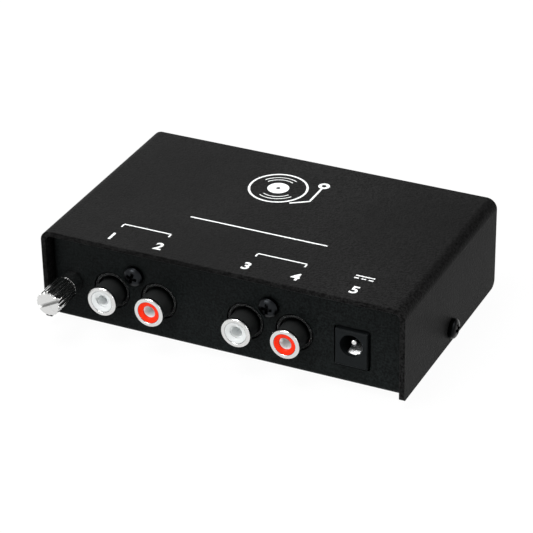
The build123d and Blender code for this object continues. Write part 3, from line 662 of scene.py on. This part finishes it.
def pan_screw_tree(name, finish):
    """A pan-head screw: a low dome over an upright side, a cross recess, and a shank. Its
    seat is at z = 0, below the head."""
    sizes = {
        "Head Radius": head_radius,
        "Head Height": head_height,
        "Side Height": 1.1 * MM,
        "Shank Radius": 1.45 * MM,
        "Shank Length": 4.5 * MM,
        "Recess Span": 3.0 * MM,
        "Recess Width": 0.95 * MM,
        "Recess Depth": 1.1 * MM,
    }
    tree, given = start_tree(name, sizes)
    radius = given.outputs["Head Radius"]
    height = given.outputs["Head Height"]
    side = given.outputs["Side Height"]
    shank = given.outputs["Shank Radius"]
    length = given.outputs["Shank Length"]
    flat_share = 0.8
    flat = add_node(
        tree, "ShaderNodeMath", {0: radius, 1: flat_share}, operation="MULTIPLY"
    ).outputs[0]
    crown = profile_point(tree, height=height)
    corner = profile_point(tree, flat, height)
    shoulder = profile_point(tree, radius, side)
    rim = profile_point(tree, radius)
    neck = profile_point(tree, shank)
    tip = profile_point(tree, shank, down=length)
    end = profile_point(tree, down=length)
    head = turned_piece(
        tree,
        [
            (crown, corner, shoulder),
            (shoulder, rim),
            (rim, neck),
            (neck, tip),
            (tip, end),
        ],
        segments=48,
    )
    # The two arms of the recess are blocks, half above the head and half in it
    span = given.outputs["Recess Span"]
    width = given.outputs["Recess Width"]
    depth = add_node(
        tree, "ShaderNodeMath", {0: given.outputs["Recess Depth"], 1: 2.0}, operation="MULTIPLY"
    ).outputs[0]
    top = add_node(tree, "ShaderNodeCombineXYZ", {"Z": height}).outputs[0]
    cut = head
    for across, along in ((span, width), (width, span)):
        arm_size = add_node(
            tree, "ShaderNodeCombineXYZ", {"X": across, "Y": along, "Z": depth}
        ).outputs[0]
        arm = add_node(tree, "GeometryNodeMeshCube", {"Size": arm_size}).outputs[0]
        placed = add_node(
            tree, "GeometryNodeTransform", {"Geometry": arm, "Translation": top}
        ).outputs[0]
        cut = add_node(
            tree,
            "GeometryNodeMeshBoolean",
            {"Mesh 1": cut, "Mesh 2": placed},
            operation="DIFFERENCE",
        ).outputs[0]
    end_tree(tree, given.outputs["Geometry"], cut, finish)
    return tree


def shell_tree():
    """A drawn and plated socket shell: a ring with a rolled front edge on a thin tube. Its front is
    at z = 0."""
    sizes = {
        "Bore Radius": 3.1 * MM,
        "Tube Radius": 3.4 * MM,
        "Ring Radius": ring_radius,
        "Ring Width": 1.1 * MM,
        "Length": 16.65 * MM,
        "Front Round": 0.5 * MM,
        "Lip Round": 0.2 * MM,
        "Rear Round": 0.2 * MM,
        "Leg Width": 2.2 * MM,
        "Leg Thickness": 0.5 * MM,
        "Leg Front": 12.65 * MM,
        "Leg Length": 6.0 * MM,
    }
    tree, given = start_tree("socket_shell", sizes)
    bore = given.outputs["Bore Radius"]
    tube = given.outputs["Tube Radius"]
    ring = given.outputs["Ring Radius"]
    front_round = given.outputs["Front Round"]
    lip_round = given.outputs["Lip Round"]
    rear_round = given.outputs["Rear Round"]
    width = given.outputs["Ring Width"]
    length = given.outputs["Length"]
    lip = add_node(tree, "ShaderNodeMath", {0: bore, 1: lip_round}, operation="ADD").outputs[0]
    lip_low = profile_point(tree, bore, down=lip_round)
    lip_corner = profile_point(tree, bore)
    lip_top = profile_point(tree, lip)
    front_start = profile_point(tree, ring, inward=front_round)
    front_corner = profile_point(tree, ring)
    front_end = profile_point(tree, ring, down=front_round)
    rear_start = profile_point(tree, ring, rear_round, down=width)
    rear_corner = profile_point(tree, ring, down=width)
    rear_end = profile_point(tree, ring, inward=rear_round, down=width)
    tube_start = profile_point(tree, tube, down=width)
    tube_end = profile_point(tree, tube, down=length)
    bore_end = profile_point(tree, bore, down=length)
    shell = turned_piece(
        tree,
        [
            (lip_low, lip_corner, lip_top),
            (lip_top, front_start),
            (front_start, front_corner, front_end),
            (front_end, rear_start),
            (rear_start, rear_corner, rear_end),
            (rear_end, tube_start),
            (tube_start, tube_end),
            (tube_end, bore_end),
            (bore_end, lip_low),
        ],
        segments=96,
    )
    # The leg runs down from the tube to the circuit board
    leg_length = given.outputs["Leg Length"]
    leg_sheet = given.outputs["Leg Thickness"]
    leg_size = add_node(
        tree,
        "ShaderNodeCombineXYZ",
        {"X": given.outputs["Leg Width"], "Y": leg_length, "Z": leg_sheet},
    )
    leg = add_node(tree, "GeometryNodeMeshCube", {"Size": leg_size.outputs[0]})
    half_length = add_node(
        tree, "ShaderNodeMath", {0: leg_length, 1: -0.5}, operation="MULTIPLY"
    ).outputs[0]
    half_sheet = add_node(
        tree, "ShaderNodeMath", {0: leg_sheet, 1: -0.5}, operation="MULTIPLY"
    ).outputs[0]
    leg_y = add_node(
        tree, "ShaderNodeMath", {0: half_length, 1: bore}, operation="SUBTRACT"
    ).outputs[0]
    leg_z = add_node(
        tree, "ShaderNodeMath", {0: half_sheet, 1: given.outputs["Leg Front"]}, operation="SUBTRACT"
    ).outputs[0]
    leg_place = add_node(tree, "ShaderNodeCombineXYZ", {"Y": leg_y, "Z": leg_z})
    set_leg = add_node(
        tree,
        "GeometryNodeTransform",
        {"Geometry": leg.outputs[0], "Translation": leg_place.outputs[0]},
    )
    whole = add_node(tree, "GeometryNodeJoinGeometry")
    tree.links.new(shell, whole.inputs[0])
    tree.links.new(set_leg.outputs[0], whole.inputs[0])
    end_tree(tree, given.outputs["Geometry"], whole.outputs[0], finishes["nickel"])
    return tree


def thumbscrew_tree():
    """A turned thumbscrew with straight flutes cut around its head and a slot across its front. The
    head's rear is at z = 0, above its shank."""
    sizes = {
        "Head Radius": 3.45 * MM,
        "Head Length": knob_length,
        "Flutes": 22,
        "Flute Depth": 0.32 * MM,
        "Front Chamfer": 0.3 * MM,
        "Rear Chamfer": 0.4 * MM,
        "Shank Radius": 1.5 * MM,
        "Shank Length": 9.5 * MM,
        "Slot Width": 1.0 * MM,
        "Slot Depth": 1.2 * MM,
    }
    tree, given = start_tree("thumbscrew", sizes)
    radius = given.outputs["Head Radius"]
    length = given.outputs["Head Length"]
    front = given.outputs["Front Chamfer"]
    rear = given.outputs["Rear Chamfer"]
    shank = given.outputs["Shank Radius"]
    flute = given.outputs["Flute Depth"]
    shank_length = given.outputs["Shank Length"]
    corners = [
        profile_point(tree, height=length),
        profile_point(tree, radius, length, inward=front),
        profile_point(tree, radius, length, down=front),
        profile_point(tree, radius, rear),
        profile_point(tree, radius, inward=rear),
        profile_point(tree, shank),
        profile_point(tree, shank, down=shank_length),
        profile_point(tree, down=shank_length),
    ]
    steps_per_flute = 12
    segments = add_node(
        tree,
        "ShaderNodeMath",
        {0: given.outputs["Flutes"], 1: steps_per_flute},
        operation="MULTIPLY",
    ).outputs[0]
    blank = turned_piece(tree, list(zip(corners, corners[1:])), segments)

    # Each point of the head is drawn in to the wall of its V-shaped flute
    place = add_node(tree, "GeometryNodeInputPosition").outputs[0]
    spot = add_node(tree, "ShaderNodeSeparateXYZ", {0: place})
    angle = add_node(
        tree, "ShaderNodeMath", {0: spot.outputs["Y"], 1: spot.outputs["X"]}, operation="ARCTAN2"
    ).outputs[0]
    turns = add_node(tree, "ShaderNodeMath", {0: angle, 1: tau}, operation="DIVIDE").outputs[0]
    count = add_node(
        tree, "ShaderNodeMath", {0: turns, 1: given.outputs["Flutes"]}, operation="MULTIPLY"
    ).outputs[0]
    part = add_node(tree, "ShaderNodeMath", {0: count}, operation="FRACT").outputs[0]
    offset = add_node(tree, "ShaderNodeMath", {0: part, 1: 0.5}, operation="SUBTRACT").outputs[0]
    away = add_node(tree, "ShaderNodeMath", {0: offset}, operation="ABSOLUTE").outputs[0]
    around = add_node(tree, "ShaderNodeMath", {0: radius, 1: tau}, operation="MULTIPLY").outputs[0]
    pitch = add_node(
        tree, "ShaderNodeMath", {0: around, 1: given.outputs["Flutes"]}, operation="DIVIDE"
    ).outputs[0]
    aside = add_node(tree, "ShaderNodeMath", {0: away, 1: pitch}, operation="MULTIPLY").outputs[0]
    depth = add_node(tree, "ShaderNodeMath", {0: flute, 1: aside}, operation="SUBTRACT").outputs[0]
    cut = add_node(tree, "ShaderNodeMath", {0: depth, 1: 0.0}, operation="MAXIMUM").outputs[0]
    wall = add_node(tree, "ShaderNodeMath", {0: radius, 1: cut}, operation="SUBTRACT").outputs[0]
    flat = add_node(
        tree, "ShaderNodeCombineXYZ", {"X": spot.outputs["X"], "Y": spot.outputs["Y"]}
    ).outputs[0]
    reach = add_node(tree, "ShaderNodeVectorMath", {0: flat}, operation="LENGTH").outputs["Value"]
    least_reach = 0.001 * MM
    safe_reach = add_node(
        tree, "ShaderNodeMath", {0: reach, 1: least_reach}, operation="MAXIMUM"
    ).outputs[0]
    ratio = add_node(
        tree, "ShaderNodeMath", {0: wall, 1: safe_reach}, operation="DIVIDE"
    ).outputs[0]
    drawn_in = add_node(tree, "ShaderNodeMath", {0: ratio, 1: 1.0}, operation="MINIMUM").outputs[0]
    sides = add_node(
        tree, "ShaderNodeVectorMath", {0: flat, "Scale": drawn_in}, operation="SCALE"
    ).outputs[0]
    upright = add_node(tree, "ShaderNodeCombineXYZ", {"Z": spot.outputs["Z"]}).outputs[0]
    moved = add_node(
        tree, "ShaderNodeVectorMath", {0: sides, 1: upright}, operation="ADD"
    ).outputs[0]
    fluted = add_node(tree, "GeometryNodeSetPosition", {"Geometry": blank, "Position": moved})

    # The slot is cut by a long block, half above the head and half in it
    double_depth = add_node(
        tree, "ShaderNodeMath", {0: given.outputs["Slot Depth"], 1: 2.0}, operation="MULTIPLY"
    ).outputs[0]
    slot_size = add_node(
        tree,
        "ShaderNodeCombineXYZ",
        {"X": around, "Y": given.outputs["Slot Width"], "Z": double_depth},
    ).outputs[0]
    slot = add_node(tree, "GeometryNodeMeshCube", {"Size": slot_size})
    top = add_node(tree, "ShaderNodeCombineXYZ", {"Z": length}).outputs[0]
    lifted = add_node(
        tree, "GeometryNodeTransform", {"Geometry": slot.outputs[0], "Translation": top}
    )
    slotted = add_node(
        tree,
        "GeometryNodeMeshBoolean",
        {"Mesh 1": fluted.outputs[0], "Mesh 2": lifted.outputs[0]},
        operation="DIFFERENCE",
    )
    end_tree(tree, given.outputs["Geometry"], slotted.outputs[0], finishes["nickel"])
    return tree


def washer_tree():
    """A pressed and tumbled washer with rounded rims. Its rear is at z = 0."""
    sizes = {
        "Hole Radius": 1.7 * MM,
        "Outer Radius": 3.2 * MM,
        "Thickness": 0.5 * MM,
        "Rim Round": 0.06 * MM,
    }
    tree, given = start_tree("washer", sizes)
    hole = given.outputs["Hole Radius"]
    outer = given.outputs["Outer Radius"]
    front = given.outputs["Thickness"]
    rim = given.outputs["Rim Round"]
    hole_rear = profile_point(tree, hole)
    hole_front = profile_point(tree, hole, front)
    face_end = profile_point(tree, outer, front, inward=rim)
    front_corner = profile_point(tree, outer, front)
    side_front = profile_point(tree, outer, front, down=rim)
    side_rear = profile_point(tree, outer, rim)
    rear_corner = profile_point(tree, outer)
    rear_end = profile_point(tree, outer, inward=rim)
    washer = turned_piece(
        tree,
        [
            (hole_rear, hole_front),
            (hole_front, face_end),
            (face_end, front_corner, side_front),
            (side_front, side_rear),
            (side_rear, rear_corner, rear_end),
            (rear_end, hole_rear),
        ],
        segments=72,
    )
    end_tree(tree, given.outputs["Geometry"], washer, finishes["nickel"])
    return tree


def middle_of(node):
    """The middle of a node's box."""
    low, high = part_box(node)
    return [(low[axis] + high[axis]) / 2 for axis in range(3)]


low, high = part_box("cover_screws")
side_y, side_z = middle_of("cover_screws")[1:]
place_pieces(
    "cover_pan_screws",
    pan_screw_tree("shaded_pan_screw", shaded_black_zinc),
    [
        ((low[0] + head_height, side_y, side_z), (-1, 0, 0), 0.0),
        ((high[0] - head_height, side_y, side_z), (1, 0, 0), 0.0),
    ],
    "case",
    ["cover_screws"],
    crease=30,
)
# The sockets' screws were each left at their own turn in assembly
low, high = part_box("socket_screws")
panel_y = low[1] + head_height
screw_z = middle_of("socket_screws")[2]
input_turn = radians(-16.5)
output_turn = radians(-3.0)
place_pieces(
    "socket_pan_screws",
    pan_screw_tree("zinc_pan_screw", finishes["black_screw"]),
    [
        ((low[0] + head_radius, panel_y, screw_z), (0, -1, 0), input_turn),
        ((high[0] - head_radius, panel_y, screw_z), (0, -1, 0), output_turn),
    ],
    "case",
    ["socket_screws"],
    crease=30,
    sizes={"Shank Length": 7.0 * MM},
)

shells = ["input_left_shell", "input_right_shell", "output_left_shell", "output_right_shell"]
shell_spots = []
for node in shells:
    low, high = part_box(node)
    shell_spots.append((((low[0] + high[0]) / 2, low[1], high[2] - ring_radius), (0, -1, 0), 0.0))
place_pieces("rolled_shells", shell_tree(), shell_spots, "case", shells, crease=30)

low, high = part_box("ground_thumbscrew")
slot_turn = radians(27.7)
knob_middle = middle_of("ground_thumbscrew")
place_pieces(
    "fluted_thumbscrew",
    thumbscrew_tree(),
    [((knob_middle[0], low[1] + knob_length, knob_middle[2]), (0, -1, 0), slot_turn)],
    "thumbscrew",
    ["ground_thumbscrew"],
    crease=20,
)

low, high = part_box("ground_washer")
place_pieces(
    "rounded_washer",
    washer_tree(),
    [((knob_middle[0], high[1], knob_middle[2]), (0, -1, 0), 0.0)],
    "terminal_washer",
    ["ground_washer"],
    crease=30,
    sizes={"Outer Radius": (high[0] - low[0]) / 2},
)

# ---------------------------------------------------------------- the cover's rounded corners


def rounded_cover():
    """The cover's sheet, with the lower front corners of its sides filed round."""
    low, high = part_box("cover")
    filed = 1.5 * MM
    margin = 1.0 * MM
    steps = 8
    crease = 35
    arc_points = []
    for step in range(steps + 1):
        angle = radians(90 * step / steps)
        arc_points.append((low[1] + filed * (1 - sin(angle)), low[2] + filed * (1 - cos(angle))))
    outline = [(low[1] - margin, low[2] - margin), (low[1] + filed, low[2] - margin)]
    outline += arc_points + [(low[1] - margin, low[2] + filed)]
    left = [(low[0] - margin, y, z) for y, z in outline]
    right = [(high[0] + margin, y, z) for y, z in outline]
    count = len(outline)
    faces = [range(count), range(2 * count - 1, count - 1, -1)]
    for number in range(count):
        after = (number + 1) % count
        faces.append((number, number + count, after + count, after))
    file_mesh = bpy.data.meshes.new("corner_file")
    file_mesh.from_pydata(left + right, [], faces)
    merge_doubles(file_mesh, weld_gap, turn_out=True)
    cutter = add_piece("corner_file", file_mesh)

    sheet = nodes["cover"].data.copy()
    merge_doubles(sheet, weld_gap)
    sheet.transform(nodes["cover"].matrix_world)
    piece = add_piece("rounded_cover", sheet)
    cut = piece.modifiers.new("corners", "BOOLEAN")
    cut.object = cutter
    cut.operation = "DIFFERENCE"
    cut.solver = "EXACT"
    mesh = settle(piece)
    mesh.materials.clear()
    mesh.materials.append(finishes["powder_coat_cover"])
    mesh.shade_smooth()
    mesh.set_sharp_from_angle(angle=radians(crease))
    # The flat faces keep their own normals where a bend meets them
    weighing = piece.modifiers.new("normals", "WEIGHTED_NORMAL")
    weighing.weight = 100
    weighing.keep_sharp = True
    settle(piece)
    bpy.data.objects.remove(cutter)
    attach(piece, "case")
    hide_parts("cover")


rounded_cover()

# ---------------------------------------------------------------- printed marks on the cover

ink_film = 0.01 * MM
ink_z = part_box("cover")[1][2] + ink_film


def screen_ink():
    """White screen-print ink: it is pressed through a mesh, so the film is thin, opaque and a little
    uneven."""
    material, tree, shader, place = start_material(
        "white_screen_ink", roughness=0.5, specular_ior_level=0.3
    )
    weave_size = 0.25 * MM
    weave = add_node(
        tree, "ShaderNodeTexNoise", {"Vector": place, "Scale": 1 / weave_size, "Detail": 1.0}
    )
    colour = add_node(
        tree,
        "ShaderNodeMix",
        {"Factor": weave.outputs["Fac"], "A": linear("#e2e4e4"), "B": linear("#eef0f0")},
        data_type="RGBA",
    )
    tree.links.new(colour.outputs["Result"], shader.inputs["Base Color"])
    return material


ink = screen_ink()


def print_mark(name, outlines):
    """Flat ink on the cover's top. Each outline is a list of (x, y) points, counter-clockwise."""
    mesh = bpy.data.meshes.new(name)
    vertices = []
    faces = []
    for outline in outlines:
        first = len(vertices)
        vertices += [(x, y, ink_z) for x, y in outline]
        faces.append(range(first, len(vertices)))
    mesh.from_pydata(vertices, [], faces)
    merge_doubles(mesh, weld_gap)
    mesh.materials.append(ink)
    mark = add_piece(name, mesh)
    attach(mark, "case")


def line(x0, y0, x1, y1, width):
    """The outline of a straight printed line."""
    along = Vector((x1 - x0, y1 - y0)).normalized()
    aside = Vector((-along.y, along.x)) * width / 2
    return [
        (x0 - aside.x, y0 - aside.y),
        (x1 - aside.x, y1 - aside.y),
        (x1 + aside.x, y1 + aside.y),
        (x0 + aside.x, y0 + aside.y),
    ]


def arc(x, y, inner, outer, start=0, end=360):
    """The outlines of a printed arc or ring, in steps of about 5 degrees."""
    steps = round((end - start) / 5)
    angles = [radians(start + (end - start) * step / steps) for step in range(steps + 1)]
    return [
        [
            (x + inner * cos(a), y + inner * sin(a)),
            (x + outer * cos(a), y + outer * sin(a)),
            (x + outer * cos(b), y + outer * sin(b)),
            (x + inner * cos(b), y + inner * sin(b)),
        ]
        for a, b in zip(angles, angles[1:])
    ]


def numeral(text, x, y, height, swell):
    """A plain printed numeral, its middle at (x, y), with its strokes swollen on both sides."""
    curve = bpy.data.curves.new(f"numeral_{text}", "FONT")
    curve.body = text
    curve.align_x = "CENTER"
    curve.align_y = "CENTER"
    curve.size = height
    curve.offset = swell
    drawn = bpy.data.objects.new(f"numeral_{text}", curve)
    mesh = bpy.data.meshes.new_from_object(drawn)
    mesh.transform(Matrix.Translation((x, y, ink_z)))
    mesh.materials.clear()
    mesh.materials.append(ink)
    bpy.data.objects.remove(drawn)
    mark = add_piece(f"socket_numeral_{text}", mesh)
    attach(mark, "case")


numeral_y = -22.6 * MM
numeral_size = 4.8 * MM
numeral_swell = 0.12 * MM
centres = [middle_of(node)[0] for node in shells] + [middle_of("power_socket_housing")[0]]
for count, x in enumerate(centres):
    numeral(str(count + 1), x, numeral_y, numeral_size, numeral_swell)

# A bracket over each pair of sockets, and the usual sign for direct current over the power socket
bracket_y = -15.4 * MM
tick = 1.6 * MM
stroke = 0.45 * MM
for left, right in ((centres[0], centres[1]), (centres[2], centres[3])):
    print_mark(
        "pair_bracket",
        [
            line(left, bracket_y, right, bracket_y, stroke),
            line(left, bracket_y - tick, left, bracket_y - stroke / 2, stroke),
            line(right, bracket_y - tick, right, bracket_y - stroke / 2, stroke),
        ],
    )
dash = 1.3 * MM
dash_gap = 0.7 * MM
dash_y = bracket_y - 1.2 * MM
sign_half = 1.5 * dash + dash_gap
sign_x = centres[4]
sign_lines = [line(sign_x - sign_half, bracket_y, sign_x + sign_half, bracket_y, stroke)]
for step in range(3):
    dash_x = sign_x - sign_half + step * (dash + dash_gap)
    sign_lines.append(line(dash_x, dash_y, dash_x + dash, dash_y, stroke))
print_mark("direct_current_sign", sign_lines)

# A plain record: its rim, two grooves that each shine on two sides, and its label round the hole
record_x = -4.5 * MM
record_y = 19.5 * MM
rim_inner = 7.7 * MM
rim_outer = 8.3 * MM
groove_width = 0.3 * MM
label_inner = 0.6 * MM
label_outer = 3.0 * MM
record_arcs = arc(record_x, record_y, rim_inner, rim_outer)
for groove in (6.0 * MM, 4.7 * MM):
    for start in (60, 240):
        record_arcs += arc(record_x, record_y, groove, groove + groove_width, start, start + 90)
record_arcs += arc(record_x, record_y, label_inner, label_outer)
print_mark("record_sign", record_arcs)

# Its tone arm: the pivot, the arm and the bent head, each joined to the next
arm_x = record_x + 11.0 * MM
arm_y = record_y + 6.0 * MM
pivot_inner = 0.7 * MM
pivot_outer = 1.6 * MM
elbow_y = arm_y - 9.5 * MM
head_x = arm_x - 4.6 * MM
head_y = arm_y - 12.6 * MM
arm_width = 0.6 * MM
head_start_x = arm_x + 0.2 * MM
head_start_y = elbow_y + 0.1 * MM
print_mark(
    "tone_arm_sign",
    arc(arm_x, arm_y, pivot_inner, pivot_outer)
    + [
        line(arm_x, arm_y - 1.5 * MM, arm_x, elbow_y, arm_width),
        line(head_start_x, head_start_y, head_x, head_y, arm_width),
    ],
)

# And a rule below both
rule_left = -19.0 * MM
rule_right = 21.0 * MM
rule_y = -4.6 * MM
rule_width = 0.5 * MM
print_mark("rule", [line(rule_left, rule_y, rule_right, rule_y, rule_width)])

# ---------------------------------------------------------------- floor, light and camera


def background_share(tree):
    """1 for the rays that show the white background: seen directly, in a reflection or through glass."""
    rays = add_node(tree, "ShaderNodeLightPath")
    seen = add_node(
        tree,
        "ShaderNodeMath",
        {0: rays.outputs["Is Camera Ray"], 1: rays.outputs["Is Glossy Ray"]},
        operation="MAXIMUM",
    )
    return add_node(
        tree,
        "ShaderNodeMath",
        {0: seen.outputs[0], 1: rays.outputs["Is Transmission Ray"]},
        operation="MAXIMUM",
    ).outputs[0]


floor_mesh = bpy.data.meshes.new("floor")
floor_reach = 3.0
floor_sides = [(-1, -1), (1, -1), (1, 1), (-1, 1)]
floor_corners = [(floor_reach * x, floor_reach * y, 0) for x, y in floor_sides]
floor_mesh.from_pydata(floor_corners, [], [(0, 1, 2, 3)])
floor = add_piece("floor", floor_mesh)

paper = bpy.data.materials.new("white_paper")
paper.use_nodes = True
tree = paper.node_tree
tree.nodes.clear()
# To the rays that show the background, the paper is plain white but for a trace of shadow
plain_share = 0.96
white_share = add_node(
    tree, "ShaderNodeMath", {0: background_share(tree), 1: plain_share}, operation="MULTIPLY"
)
paper_colour = add_node(tree, "ShaderNodeBsdfDiffuse", {"Color": linear("#f4f4f4")})
white = add_node(tree, "ShaderNodeEmission", {"Color": linear("#ffffff"), "Strength": 1.0})
paper_mix = add_node(
    tree,
    "ShaderNodeMixShader",
    {0: white_share.outputs[0], 1: paper_colour.outputs[0], 2: white.outputs[0]},
)
add_node(tree, "ShaderNodeOutputMaterial", {"Surface": paper_mix.outputs[0]})
floor.data.materials.append(paper)

# The studio: white walls, which get darker towards the ceiling, with a dark doorway behind the box
# on its right. The object reflects them; behind it the picture is white.
world = bpy.data.worlds.new("studio")
bpy.context.scene.world = world
world.use_nodes = True
tree = world.node_tree
tree.nodes.clear()
direction = add_node(tree, "ShaderNodeTexCoord").outputs["Generated"]
height = add_node(tree, "ShaderNodeSeparateXYZ", {0: direction})
wall = add_node(
    tree,
    "ShaderNodeMapRange",
    {"Value": height.outputs["Z"], "From Min": 0.1, "From Max": 0.6, "To Min": 1.0, "To Max": 0.55},
    interpolation_type="SMOOTHSTEP",
)
doorway_place = Vector((0.6, 0.75, 0.28)).normalized()
nearness = add_node(
    tree, "ShaderNodeVectorMath", {0: direction, 1: doorway_place}, operation="DOT_PRODUCT"
)
doorway = add_node(
    tree,
    "ShaderNodeMapRange",
    {
        "Value": nearness.outputs["Value"],
        "From Min": 0.8,
        "From Max": 0.93,
        "To Min": 1.0,
        "To Max": 0.12,
    },
    interpolation_type="SMOOTHSTEP",
)
room = add_node(
    tree,
    "ShaderNodeMath",
    {0: wall.outputs["Result"], 1: doorway.outputs["Result"]},
    operation="MULTIPLY",
)
fill_level = 0.32
rays = add_node(tree, "ShaderNodeLightPath")
reflected = add_node(
    tree,
    "ShaderNodeMix",
    {"Factor": rays.outputs["Is Glossy Ray"], "A": fill_level, "B": room.outputs[0]},
    data_type="FLOAT",
)
seen = add_node(
    tree,
    "ShaderNodeMath",
    {0: rays.outputs["Is Camera Ray"], 1: rays.outputs["Is Transmission Ray"]},
    operation="MAXIMUM",
)
strength = add_node(
    tree,
    "ShaderNodeMix",
    {"Factor": seen.outputs[0], "A": reflected.outputs["Result"], "B": 1.0},
    data_type="FLOAT",
)
sky = add_node(
    tree,
    "ShaderNodeBackground",
    {"Color": linear("#ffffff"), "Strength": strength.outputs["Result"]},
)
add_node(tree, "ShaderNodeOutputWorld", {"Surface": sky.outputs[0]})

middle = (Vector(cad_low) + Vector(cad_high)) / 2


def soft_box(name, away, width, power):
    """A square studio lamp that stands so far away from the middle of the object and faces it."""
    lamp = bpy.data.lights.new(name, "AREA")
    lamp.size = width
    lamp.energy = power
    holder = add_piece(name, lamp)
    holder.location = middle + Vector(away)
    holder.rotation_euler = (-Vector(away)).to_track_quat("-Z", "Y").to_euler()


soft_box("rear_light", (-0.35, 0.45, 0.45), width=0.35, power=1.8)
soft_box("front_light", (-0.35, -0.75, 0.4), width=0.3, power=3.0)
soft_box("top_light", (-0.15, -0.25, 0.85), width=0.4, power=7.0)
soft_box("side_light", (0.9, 0.1, 0.5), width=0.5, power=4.0)

camera_data = bpy.data.cameras.new("camera")
camera_data.sensor_width = 36
camera_data.lens = 163.307
camera = add_piece("camera", camera_data)
camera_yaw = radians(25.944)
camera_pitch = radians(29.758)
camera_roll = radians(-1.065)
camera_place = (0.247139, -0.505969, 0.338011)
camera.matrix_world = (
    Matrix.Translation(camera_place)
    @ Matrix.Rotation(camera_yaw, 4, "Z")
    @ Matrix.Rotation(pi / 2 - camera_pitch, 4, "X")
    @ Matrix.Rotation(camera_roll, 4, "Z")
)
bpy.context.scene.camera = camera
bpy.context.scene.view_settings.view_transform = "Standard"
